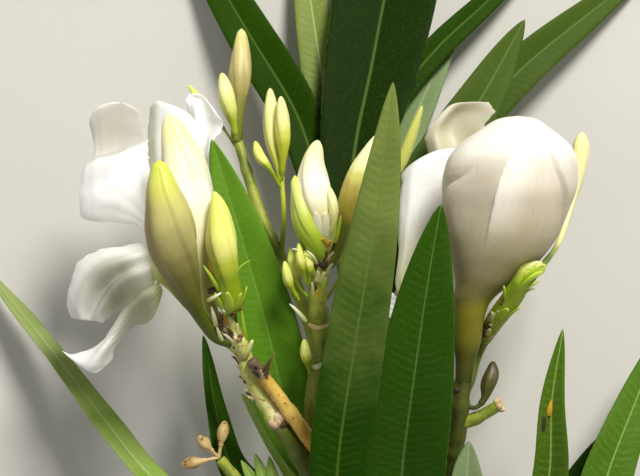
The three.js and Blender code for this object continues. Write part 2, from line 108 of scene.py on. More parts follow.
# Limbs: the radius at the two ends, the shares of the length where a ring of scars is, the look where it
# isn't plain bark, and a centre line
LIMBS = {
    "main_stem": {"radius": (3.4, 1.8), "rings": (0.14, 0.3, 0.44, 0.7, 0.82, 0.91), "points": [
        (15, -132, 3), (13, -106, 13.5), (10, -80, 24.5), (5.5, -57, 32), (-1, -36, 36.5),
        (0.5, -21.5, 40.5), (-0.5, -12.5, 43), (0.5, -3, 45),
    ]},
    "left_flower_stem": {"radius": (2.1, 1.65), "rings": (0.48, 0.63, 0.8, 0.9), "look": "straw", "points": [
        (8, -69, 28.6), (1.8, -57, 35), (-3.2, -46, 38.6), (-9, -36.4, 41), (-12.9, -29.6, 42.7),
        (-16, -21.8, 44.9), (-18.7, -15.5, 47),
    ]},
    "right_flower_stem": {"radius": (2.1, 1.7), "rings": (0.4, 0.75, 0.92), "look": "dark", "points": [
        (10.3, -82, 23.8), (19, -70, 26.5), (23.6, -58, 31.5), (26.3, -48, 37.5), (27.7, -39.6, 42.3),
        (28.2, -32.5, 45), (28.7, -28.5, 45.5),
    ]},
    "back_flower_stem": {"radius": (1.4, 1), "rings": (0.3, 0.55, 0.85), "points": [
        (0.2, -25, 39.3), (-3, -15, 37), (-7, -6, 33), (-12, 4, 31), (-17.5, 21.5, 28),
    ]},
    "back_leafy_shoot": {"radius": (1.6, 1.1), "rings": (0.5, 0.9), "points": [
        (2, -46, 34.3), (3.5, -38, 30), (4, -25, 28.5), (5.5, -1, 28),
    ]},
    "spent_flower_stem": {"radius": (1.5, 1.1), "rings": (0.5, 0.9), "points": [
        (9, -76, 26), (-1, -66, 31), (-12, -56, 33), (-20.5, -45.5, 34.5),
    ]},
    "dead_flower_stalk": {"radius": (1.8, 1.2), "rings": (0.55,), "look": "dead", "points": [
        (2.5, -47, 34.4), (-1.9, -41, 40.5), (-8.6, -31.5, 44), (-13.7, -24.3, 47),
    ]},
    "left_cut_stub": {"radius": (0.9, 0.7), "rings": (), "look": "stub", "points": [
        (-15.2, -23.8, 44.3), (-15.6, -22.5, 47), (-16.3, -19.7, 48.9),
    ]},
    "right_cut_stub": {"radius": (1.3, 1.1), "rings": (0.4,), "points": [
        (27.9, -37.5, 43.2), (31.5, -36, 44.5), (36, -33.3, 45),
    ]},
}

# Leaves: the look, the greatest width and a centre line. Some also have how steeply they fold, how high their
# veins are, how far their rims wave, and the directions of the upper face at the foot and the tip.
LEAVES = {
    "leaf_front_centre": {"look": "olive", "width": 11.8, "relief": 0.09, "points": [
        (10, -80, 24.5), (6, -72, 34), (4, -60, 43), (3.4, -46.5, 50), (7, -19, 59), (10.3, 1.5, 62.5),
        (12.4, 16, 64.5), (13.8, 29.5, 66),
    ]},
    "leaf_front_right": {"look": "deep", "width": 17, "fold": 0.42, "points": [
        (11.7, -92, 19.5), (15.5, -84, 26), (16, -70, 32), (16.5, -47.5, 42), (18.5, -27.5, 51),
        (21.3, -6, 56.5), (23.4, 6.5, 58),
    ]},
    "leaf_left": {"look": "fresh", "width": 13, "wave": 0.25, "points": [
        (6.5, -62, 30.6), (2.2, -53, 28), (-4, -42, 29), (-7.4, -33.5, 31.5), (-10.5, -20, 35),
        (-15.7, -1, 38), (-22, 20, 40),
    ]},
    "leaf_back_tall": {"look": "dark", "width": 22.5, "points": [
        (5.3, -2.5, 28), (7.5, 19.5, 22), (11, 36.5, 16), (14, 52, 11), (21, 86, 4), (28.5, 120, 0.1),
    ]},
    "leaf_back_left": {"look": "shade", "width": 10.5, "points": [
        (5.2, -6, 28), (2.3, -1, 26.5), (0.5, 8, 22), (-4.5, 25.5, 16.5), (-16, 45.5, 9.5),
        (-33.5, 75.5, 0.1),
    ]},
    "leaf_back_pale": {"look": "bright", "width": 9, "points": [
        (4.9, -9.5, 28.1), (4.6, -4, 24), (4, 10, 17), (0.2, 37, 10), (-2, 52, 7), (-5, 74, 0.1),
    ]},
    "leaf_back_right": {"look": "shade", "width": 5.9, "points": [
        (5.2, -6, 28), (8.4, -0.5, 26), (10.4, 9, 21.5), (15.8, 28.4, 14.5), (24.8, 40.6, 11), (37, 52.3, 7),
        (57, 72, 0.1),
    ]},
    "leaf_back_small": {"look": "grey", "width": 8, "points": [
        (4.3, -16.5, 28.3), (6.8, -8, 25), (12.4, 6, 19), (18.6, 21.8, 12.5), (25.5, 36.8, 8),
        (30.7, 46.8, 5),
    ]},
    "leaf_right_high": {"look": "dull", "width": 11.8, "points": [
        (4.2, -21, 28.4), (12.5, -6.5, 28), (24, 14, 22), (34.5, 30, 18), (44.5, 47.5, 12.5),
    ]},
    "leaf_right_far": {"look": "dull", "width": 9.8, "points": [
        (4, -27, 28.5), (14, -8, 21.5), (24, 14, 16), (42, 35, 11.5), (58, 48.5, 7), (76, 62, 0.1),
    ]},
    "leaf_low_left_long": {"look": "pale", "width": 7, "points": [
        (11, -86, 22), (-6, -74, 27), (-24, -60, 27), (-36, -50, 25), (-46, -39, 20), (-59.5, -23, 13),
        (-80.5, -0.5, 0.1),
    ], "faces": [
        (0.4, 0.4, 0.8), (0.8, 0.75, 0.6),
    ]},
    "leaf_right_folded": {"look": "folded", "width": 8.2, "fold": 0.7, "points": [
        (12.3, -98, 17), (30, -84, 22), (43, -68, 27.5), (47.3, -49.5, 32), (47.5, -33, 36),
        (49.5, -18.5, 38),
    ]},
    "leaf_right_edge": {"look": "lime", "width": 12, "points": [
        (13, -105, 14), (36, -92, 21), (53, -72, 25.5), (61.5, -47, 25), (67, -34, 23), (74.2, -17.5, 20),
    ]},
    "leaf_right_dark": {"look": "dark", "width": 10, "points": [
        (13.4, -110, 11.9), (34, -94, 14), (47, -72, 15.5), (54, -56, 15), (60, -46, 13.5), (64, -41, 12),
    ]},
    "leaf_low_grey": {"look": "grey", "width": 8, "points": [
        (22.8, -60, 30.5), (28.1, -57.4, 39.4), (29.5, -51, 44.2), (29.4, -46.5, 45.2), (29.8, -40.6, 45.6),
    ]},
    "leaf_left_narrow": {"look": "shade", "width": 8, "faces": [(0.3, 0.2, 1), (0.9, 0.2, 0.4)], "points": [
        (8, -70, 28.2), (-3, -62, 27), (-12, -55, 27.2), (-18.5, -48, 27.5), (-22, -36, 27),
        (-24.5, -20.5, 25),
    ]},
    "leaf_left_bright": {"look": "painted_sunlight", "width": 7, "faces": [(0, 0, 1), (0.6, 0.4, 0.7)], "points": [
        (8.5, -72, 27.5), (1, -61, 22), (-4.2, -50.5, 23), (-10.5, -41.5, 23.5), (-16.5, -33, 23),
    ]},
    "leaf_foot_left": {"look": "deep", "width": 13, "points": [
        (13.3, -113, 10.7), (2, -108, 16), (-16, -100, 17), (-36, -88, 11), (-54, -74, 0.1),
    ]},
    "leaf_foot_right": {"look": "fresh", "width": 13, "points": [
        (13.8, -118, 8.8), (28, -116, 14), (46, -110, 14), (66, -100, 7), (80, -90, 0.1),
    ]},
}

# Three small leaves at one place on a stem
YOUNG_LEAVES = {
    "foot": (-8, -59.5, 32.2), "tips": [(-16.4, -46, 31.5), (-13.5, -44.5, 32.5), (-10.5, -45, 33.5)],
    "width": 3,
}

# Buds: the greatest radius, the look, a centre line, and either the share of the length that is stalk or a
# profile, the radius at shares of the length as a share of the greatest
BUDS = {
    "bud_left_olive": {"radius": 4.7, "look": "olive", "points": [
        (-16.3, -21, 45.2), (-20.4, -19.8, 46.2), (-22.9, -16.6, 49.5), (-25.1, -12.1, 54.5),
        (-26.7, -6.7, 58.5), (-28, -1.5, 62), (-29, 5.3, 65.5), (-29.7, 9, 66.8), (-30.3, 14.6, 67.6),
    ], "profile": [
        (0.12, 0.28), (0.22, 0.29), (0.3, 0.32), (0.36, 0.44), (0.42, 0.57), (0.5, 0.74), (0.58, 0.9),
        (0.64, 1), (0.71, 1), (0.79, 0.88), (0.88, 0.66), (0.94, 0.47), (0.985, 0.27),
    ]},
    "bud_left_white": {"radius": 5.3, "look": "white", "points": [
        (-17.6, -18.2, 46.1), (-20.8, -15.9, 45.6), (-22.5, -12, 46.6), (-24.8, -2.5, 50.2),
        (-26, 7.5, 51.7), (-27.2, 15.3, 52.2), (-29.8, 24.2, 52.7),
    ], "profile": [
        (0.08, 0.2), (0.14, 0.28), (0.21, 0.4), (0.34, 0.66), (0.48, 0.92), (0.6, 1), (0.74, 0.9),
        (0.85, 0.66), (0.935, 0.44), (0.985, 0.23),
    ]},
    "bud_left_green": {"radius": 3, "look": "green", "points": [
        (-18.4, -16.2, 46.8), (-17.8, -13.4, 49.6), (-18, -9.8, 52.2), (-18.5, -5.5, 54.7),
        (-19.1, -0.6, 56.4), (-19.6, 5, 57.2), (-20.4, 9, 57.5),
    ], "profile": [
        (0.08, 0.46), (0.12, 0.46), (0.16, 0.8), (0.21, 0.92), (0.29, 0.84), (0.38, 0.78), (0.47, 0.86),
        (0.57, 0.96), (0.65, 1), (0.74, 0.89), (0.86, 0.64), (0.94, 0.4), (0.985, 0.18),
    ]},
    "bud_centre_white": {"radius": 3.8, "look": "white", "points": [
        (0.3, -4.8, 44.6), (0.4, -1.5, 45.6), (0, 2, 46.7), (-0.7, 6.3, 47.5), (-1.3, 10.1, 48),
        (-1.4, 14.9, 48.3), (-0.4, 19.4, 48.3),
    ], "profile": [
        (0.08, 0.35), (0.14, 0.48), (0.2, 0.66), (0.28, 0.8), (0.4, 0.96), (0.52, 1), (0.62, 0.91),
        (0.72, 0.77), (0.81, 0.6), (0.9, 0.44), (0.96, 0.29), (0.99, 0.14),
    ]},
    "bud_centre_cream": {"radius": 2.05, "look": "ochre", "points": [
        (0.1, -7, 44.2), (2.2, -4.8, 43.6), (3.6, -1.6, 43.2), (4.5, 2, 43.1), (5.3, 5.6, 43.2),
        (6.4, 9.6, 43.4), (7.8, 13.6, 43.8), (10.6, 19.1, 44), (12.2, 21.5, 44),
    ], "profile": [
        (0.05, 0.45), (0.1, 0.6), (0.21, 0.73), (0.33, 0.84), (0.45, 0.96), (0.58, 1), (0.71, 0.88),
        (0.82, 0.63), (0.91, 0.4), (0.98, 0.15),
    ]},
    "bud_centre_slim": {"radius": 1, "stalk": 0.3, "look": "green", "points": [
        (-0.2, -9, 43.8), (-3.2, -2.5, 44), (-4.6, 3, 44.3), (-5, 8, 44.6), (-5.3, 12, 45.2),
    ]},
    "bud_centre_small": {"radius": 1.2, "stalk": 0.3, "look": "green", "points": [
        (-0.4, -13.5, 42.8), (-3.5, -10.5, 43.3), (-5.3, -6, 43.8), (-5.8, -2, 44),
    ]},
    "bud_right_slim": {"radius": 1.2, "stalk": 0.5, "look": "lemon_dull", "points": [
        (-0.3, -15, 42.3), (7, -3, 40), (12, 7.5, 39.5), (16.2, 14.8, 39.3), (19.1, 22.3, 39.2),
        (20.8, 27, 39),
    ]},
    "bud_right_tall": {"radius": 2, "look": "tall", "points": [
        (28.4, -31.5, 45.1), (30.2, -29, 42), (31.3, -25.1, 41), (32.6, -21.6, 42), (34.7, -16.5, 47.4),
        (37.6, -11.6, 53.2), (39.5, -7.8, 56.8), (41.1, -6.2, 56.8), (43.1, -5.5, 54.2), (45.1, -3.9, 50),
        (47.2, -1.8, 45.2), (48.7, 0.8, 42.3), (50.9, 7.7, 39.5), (52.7, 15.8, 39.4), (53.2, 21.6, 39.5),
    ], "profile": [
        (0.15, 0.5), (0.2, 0.75), (0.26, 0.92), (0.32, 1), (0.39, 1), (0.43, 0.86), (0.46, 0.96),
        (0.48, 0.72), (0.52, 0.4), (0.56, 0.3), (0.64, 0.26), (0.7, 0.3), (0.77, 0.45), (0.84, 0.65),
        (0.9, 0.84), (0.95, 0.88), (0.98, 0.66), (0.992, 0.35),
    ]},
    "bud_right_spent": {"radius": 1.55, "stalk": 0.3, "look": "spent", "points": [
        (28.2, -33.4, 44.8), (31.1, -33.8, 46), (32.7, -32.1, 46), (33.5, -29.5, 45.8), (34.3, -27.2, 45.5),
        (34.6, -24.6, 45.2),
    ]},
    "bud_back_cream": {"radius": 2.5, "look": "tan", "points": [
        (-17.4, 20, 28.2), (-17.2, 27, 28), (-16.6, 36, 27), (-16.5, 44, 26),
    ], "profile": [
        (0.06, 0.5), (0.2, 0.55), (0.35, 0.62), (0.43, 0.78), (0.52, 0.92), (0.6, 0.94), (0.7, 0.86),
        (0.8, 0.71), (0.9, 0.53), (0.965, 0.35),
    ]},
    "bud_back_green": {"radius": 1.7, "stalk": 0.15, "look": "fresh", "points": [
        (-17.1, 19, 28.4), (-18.2, 24.5, 30), (-19.4, 29.5, 31), (-20.4, 34.3, 31),
    ]},
    "bud_back_slim": {"radius": 0.9, "stalk": 0.3, "look": "green", "points": [
        (-16.9, 18, 28.5), (-21, 24, 27.5), (-24.5, 28, 28), (-27.5, 32, 28.5),
    ]},
    "bud_back_pair_left": {"radius": 1.75, "stalk": 0.42, "look": "lemon", "points": [
        (-8, -3.5, 32.6), (-7.5, 4, 32.5), (-8, 12, 31.5), (-9.8, 20.5, 30.5), (-10.4, 31.2, 30),
    ]},
    "bud_back_pair_right": {"radius": 1.6, "stalk": 0.08, "look": "lemon", "points": [
        (-8, 11.5, 31.6), (-7.7, 16, 32.5), (-7.6, 20.5, 33), (-8.1, 29.3, 33),
    ]},
    "bud_back_small": {"radius": 1.1, "stalk": 0.3, "look": "green", "points": [
        (-7.8, 10, 31.8), (-10.5, 14.5, 33), (-12.5, 17, 33.3), (-13.4, 20, 33.5),
    ]},
}

# Withered calyxes left where flowers have dropped, three at one place on a stem
SPENT_CALYXES = {
    "foot": (-20.8, -45.1, 34.5), "tips": [(-25, -40.5, 36), (-19.5, -37.5, 35), (-28.5, -46.5, 35.5)],
    "radius": 1.2, "stalk": 0.3,
}

# Small buds and lobes crowded round the foot of the white bud, and one bud lower on the stem
CROWDED_BUDS = [
    {"look": "lobe", "radius": 2.35, "points": [
        (0.2, -5.2, 45.2), (-0.4, -2.6, 46.6), (-1.4, 0, 48), (-2.6, 3, 48.8), (-3.5, 6.2, 49),
        (-4.3, 9.2, 48.8), (-4.8, 11.1, 48.6), (-5, 12.4, 48.4),
    ], "profile": [
        (0.05, 0.5), (0.16, 0.75), (0.33, 0.95), (0.51, 1), (0.68, 0.82), (0.85, 0.6), (0.94, 0.4),
    ]},
    {"look": "cream", "radius": 1, "points": [
        (2.1, 0.5, 48.6), (2.7, 3.4, 50), (2.6, 6.4, 50.4), (1.6, 10.4, 49.9),
    ]},
    {"look": "green", "radius": 0.9, "points": [
        (-2.8, -9.2, 45), (-3.4, -6.4, 46.6), (-4, -3.8, 47.6), (-4.2, -1, 48),
    ]},
    {"look": "green", "radius": 0.9, "points": [
        (-2.2, -9.2, 45), (-2, -6.4, 46.6), (-2.3, -4.4, 47.2), (-3, -2.4, 47.4),
    ]},
    {"look": "green", "radius": 1, "points": [
        (-4.2, -12.4, 43.8), (-6, -9.4, 45), (-6.6, -7.2, 46), (-7.1, -4.6, 46.6),
    ]},
    {"look": "green", "radius": 1.05, "points": [
        (-2, -27.1, 41), (-2.6, -25, 42.5), (-3, -22.5, 43), (-3.2, -20.3, 43),
    ]},
]

# Sepals and bracts: the look, the width and the centre line
BRACTS = [
    ("ivory", 1.1, [(-20.6, -17.6, 48.9), (-20.9, -15.6, 50.6), (-21.4, -13.3, 52)]),
    ("ivory", 0.8, [(-18.6, -15.4, 49.4), (-19.1, -14.2, 51), (-19.3, -13, 52)]),
    ("brown", 0.9, [(-19.6, -18.4, 47.8), (-19.6, -16.3, 49.6), (-19.7, -14.3, 51.2)]),
    ("ivory", 0.9, [(-19.4, -20.6, 46.9), (-20, -19, 48.2), (-20.4, -17.6, 49.4)]),
    ("brown", 0.8, [(-16.6, -13.8, 49.5), (-15.7, -12.8, 51), (-14.7, -12.2, 51.5)]),
    ("green", 0.8, [(-14.8, -20.6, 45.5), (-15.2, -16.9, 48), (-15.6, -13.4, 50)]),
    ("green", 0.5, [(-16.5, -11.4, 52.5), (-16.4, -7.8, 53.5), (-15.6, -5.7, 54.5), (-13.4, -4.2, 55)]),
    ("green", 0.9, [(-19.5, -10.6, 53.5), (-21, -7.8, 55.5), (-22.7, -5.2, 56.5)]),
    ("green", 1.1, [(-16.3, -11.8, 52), (-16.3, -9.2, 53.5), (-16.6, -6.6, 55)]),
    ("ivory", 0.9, [(-22, -12.3, 53.6), (-20.6, -11.5, 54.6), (-19.1, -10.6, 54.6)]),
    ("dark", 1.3, [(-21.9, -10.6, 53), (-20.6, -10, 53.6), (-19.2, -9.8, 53.6)]),
    ("amber", 0.9, [(-20.8, -8, 54.2), (-21.3, -5.4, 55.6), (-21.6, -2.6, 56.6)]),
    ("green", 1.1, [(2.8, -1, 45.9), (3.6, 1.6, 46.6), (4.2, 4.6, 47)]),
    ("ivory", 0.7, [(-0.6, -5.2, 47), (-1.4, -3.6, 48.6), (-2.7, -2.4, 49)]),
    ("ivory", 0.5, [(-4.2, -2.8, 48.2), (-5, -2.2, 48.7), (-5.6, -2.2, 48.7)]),
    ("ivory", 0.9, [(-2.7, -16.8, 44), (-4.4, -14.8, 44.6), (-6.2, -13.1, 44.6)]),
    ("tan", 1, [(-2.4, -17.3, 43.5), (-0.6, -18, 44.6), (1.2, -17.6, 44.5), (2.4, -16.7, 43.5)]),
    ("ivory", 1.2, [(-1.6, -26.2, 41.5), (-0.4, -25.8, 42.8), (1, -25, 42)]),
    ("amber", 1.3, [(46.9, -36.4, 36), (47, -34.9, 36.5), (47.3, -33.2, 36.7)]),
    ("dark", 1.5, [(45.4, -39.6, 35.9), (45.6, -37.9, 36.4), (45.9, -36.2, 36.7)]),
]

# Sepals and bracts that lie along a limb or bud: what carries them, and for each one the share of its length
# where it starts, the degrees round it from its right side over the top, the look, the width, the length and
# the lift of the tip
HUGGING_BRACTS = [
    ("left_flower_stem", [
        (0.7, 165, "tan", 1.3, 1.9, 0.9), (0.71, 190, "brown", 1.1, 1.9, 1), (0.73, 172, "tan", 1, 1.5, 0.8),
        (0.77, 180, "brown", 1, 1.8, 0.8), (0.8, 186, "ivory", 1, 2.2, 0.9),
        (0.835, 160, "brown", 1.2, 2.4, 0.7), (0.84, 132, "tan", 1.2, 2.6, 0.6),
        (0.86, 178, "straw", 1.3, 3, 1), (0.875, 110, "straw", 1.3, 3, 0.6),
        (0.89, 150, "brown", 1.2, 3, 0.8), (0.9, 84, "ivory", 1.1, 3, 0.7),
        (0.905, 136, "ivory", 1.2, 3.4, 0.9), (0.915, 172, "straw", 1.2, 3.6, 1.2),
        (0.92, 52, "straw", 1.2, 3.4, 0.9), (0.93, 106, "brown", 1.3, 3, 0.8),
        (0.945, 150, "ivory", 1.2, 3.6, 1.1), (0.95, 74, "straw", 1.3, 3.6, 1),
        (0.96, 24, "brown", 1.1, 2.8, 0.9), (0.97, 96, "amber", 1.2, 3, 0.9),
        (0.965, 126, "tan", 1.2, 3.4, 1), (0.98, 60, "ivory", 1, 3.2, 1.2),
        (0.98, 160, "brown", 1.1, 3, 1.2),
    ]),
    ("dead_flower_stalk", [
        (0.86, 70, "tan", 1.1, 2, 0.2), (0.87, 118, "dark", 1.1, 2.4, 0.2), (0.9, 150, "brown", 1, 2, 0.2),
        (0.92, 92, "dark", 1, 1.8, 0.2), (0.84, 30, "brown", 1.2, 2.2, 0.4), (0.83, 62, "brown", 1, 2, 0.2),
    ]),
    ("bud_left_green", [
        (0.1, 92, "green", 2.6, 7, 0.9), (0.1, 46, "green", 2.4, 6, 1.1), (0.1, 138, "green", 2.4, 6.4, 1),
        (0.11, 2, "green", 2.2, 5.4, 1.2), (0.11, 178, "straw", 2.2, 5.6, 1.1),
        (0.08, 112, "ivory", 1.2, 3.4, 0.8), (0.07, 66, "brown", 1.2, 2.6, 0.7),
        (0.07, 22, "brown", 1.1, 2.6, 0.9),
    ]),
    ("bud_centre_white", [
        (0.07, 96, "cream", 3.4, 9.6, 0.3), (0.08, 70, "cream", 2.4, 9, 0.7),
        (0.07, 46, "cream", 3.2, 9.8, 0.5), (0.07, 20, "lime", 3.2, 9, 0.7),
        (0.07, 118, "lime", 3, 8.4, 0.4), (0.1, 146, "green", 2.4, 8.4, 0.5),
        (0.08, 84, "amber", 2.2, 4.2, 0.9), (0.07, 108, "amber", 2, 3.6, 0.9),
        (0.07, 58, "amber", 2, 3.6, 1), (0.04, 92, "brown", 1.4, 2.4, 0.9),
    ]),
    ("main_stem", [
        (0.975, 60, "brown", 1.5, 2.8, 0.7), (0.98, 92, "dark", 1.8, 3, 0.7),
        (0.975, 124, "brown", 1.4, 2.8, 0.7), (0.99, 74, "brown", 1.4, 2.6, 1),
        (0.99, 108, "dark", 1.4, 2.6, 1), (0.965, 34, "straw", 1.5, 3.4, 1),
        (0.965, 142, "straw", 1.3, 3, 1), (0.985, 40, "tan", 1.2, 3, 1.1),
        (0.955, 100, "straw", 1.5, 3, 0.6), (0.955, 68, "straw", 1.5, 3, 0.6),
        (0.93, 94, "amber", 1.2, 2.6, 0.3), (0.94, 106, "brown", 0.9, 3, 0.4),
        (0.945, 52, "green", 1.1, 3.4, 0.6), (0.935, 124, "straw", 1, 3.4, 0.6),
    ]),
    ("bud_right_tall", [
        (0.44, 80, "green", 2.6, 6, 0.5), (0.44, 30, "straw", 2, 5.6, 0.5),
        (0.43, 120, "straw", 2, 5.2, 0.6), (0.44, 100, "lime", 1.2, 4.6, 0.7),
        (0.4, 64, "green", 2.2, 6.5, 0.9), (0.39, 112, "green", 2, 5.4, 1.3),
        (0.4, 14, "green", 1.9, 5.6, 1), (0.35, 150, "green", 2, 5, 1.4), (0.29, 84, "green", 2.4, 5.6, 0.7),
        (0.3, 30, "green", 2.2, 5.4, 0.6), (0.26, 126, "straw", 2, 4.6, 0.9),
        (0.39, -14, "ivory", 0.8, 3, 1.8), (0.34, 132, "brown", 1, 3, 0.9), (0.21, 96, "straw", 1.6, 4, 0.5),
        (0.27, 140, "brown", 1.3, 2.6, 0.5), (0.25, 116, "brown", 1.2, 2.4, 0.5),
        (0.235, 142, "dark", 1.2, 2.2, 0.5), (0.22, 120, "brown", 1.2, 2.2, 0.5),
        (0.29, 118, "straw", 0.9, 2.4, 0.5), (0.2, 60, "tan", 1.2, 3, 0.4),
    ]),
]

# Scars and knobs on limbs and buds: what carries them, and for each one the share of its length, the degrees
# round it, the look and the radius
HUGGING_KNOBS = [
    ("left_flower_stem", [
        (0.61, 14, "blush", 1.45), (0.622, 46, "blush", 1.5), (0.612, 84, "tan", 1.2),
        (0.612, 122, "blush", 1.3), (0.6, 66, "brown", 1.1), (0.775, 165, "brown", 0.5),
        (0.9, 125, "brown", 0.5),
    ]),
    ("left_cut_stub", [(0.97, -20, "brown", 0.55)]),
    ("bud_right_tall", [(0.245, 128, "dark", 0.65)]),
    ("right_flower_stem", [(0.97, 138, "dark", 0.75)]),
    ("bud_right_tall", [
        (0.3, 124, "brown", 0.5), (0.27, 108, "tan", 0.55), (0.325, 112, "tan", 0.45),
        (0.22, 106, "brown", 0.5), (0.36, 132, "tan", 0.5),
    ]),
    ("right_cut_stub", [(0.975, 90, "tan", 0.8), (0.98, 20, "tan", 0.75), (0.975, 160, "tan", 0.75)]),
    ("main_stem", [(0.985, 82, "dark", 0.8), (0.99, 110, "brown", 0.75)]),
]

# Prongs that end short: the look, the radius at both ends and the centre line
PRONGS = [
    ("straw", (0.95, 0.3), [(-15.3, -23.8, 45.4), (-16.2, -21.8, 47.6), (-16.9, -19.4, 49.2)]),
    ("straw", (0.95, 0.3), [(-15.2, -23.8, 45.4), (-14.3, -22.3, 47.1), (-13.4, -20.3, 48.2)]),
    ("brown", (0.45, 0.12), [(-12, -27.2, 46.6), (-10.4, -25, 48), (-8.8, -22.6, 49)]),
    ("brown", (0.45, 0.12), [(-11.6, -27.6, 46.4), (-10.2, -26, 47.4), (-9.8, -24, 48)]),
]

# The closed bloom: a centre line from its stem through its tube to its crown, and the radius at shares of
# it. Each edge where a petal laps the next is a line of shares along, degrees round from the right, and how
# much of its full depth the step down has there.
CLOSED_BLOOM = {
    "points": [
        (28.6, -30, 45.3), (29.3, -20.5, 47), (30.3, -12.2, 49), (33, -8.3, 49.6), (35.1, -3, 50),
        (36.4, 5.5, 50), (38, 15.5, 50), (38.9, 24.1, 50),
    ],
    "radii": [
        (0, 1.6), (0.09, 1.9), (0.17, 2.7), (0.25, 3), (0.3, 3.4), (0.34, 4.2), (0.38, 5.3), (0.43, 6.9),
        (0.515, 9.4), (0.6, 11.3), (0.67, 12.3), (0.75, 13.1), (0.83, 12.6), (0.875, 11.6), (0.905, 10.3),
        (0.95, 7.1), (0.988, 3.9), (1, 0),
    ],
    "edges": [
        [(0.5, 8, 0), (0.62, 18, 0.4), (0.707, 32, 0.9), (0.802, 52, 1), (0.877, 62, 1), (1, 74, 0.6)],
        [
            (0.49, 116, 0), (0.56, 112, 0.4), (0.61, 110, 0.75), (0.66, 108, 1), (0.71, 106.5, 1),
            (0.77, 105, 0.9), (0.82, 102, 0.75), (0.862, 97.5, 0.6), (0.923, 99, 0.4), (1, 104, 0.1),
        ],
        [
            (0.6, 186, 0), (0.68, 176, 0.5), (0.725, 164, 1), (0.753, 156, 1), (0.77, 144, 0.9),
            (0.79, 135, 0.4), (0.82, 128, 0), (1, 118, 0),
        ],
        [(0.45, 246, 0.6), (0.7, 230, 1), (1, 215, 1)],
        [(0.45, 318, 0.6), (0.7, 312, 1), (1, 300, 1)],
    ],
}

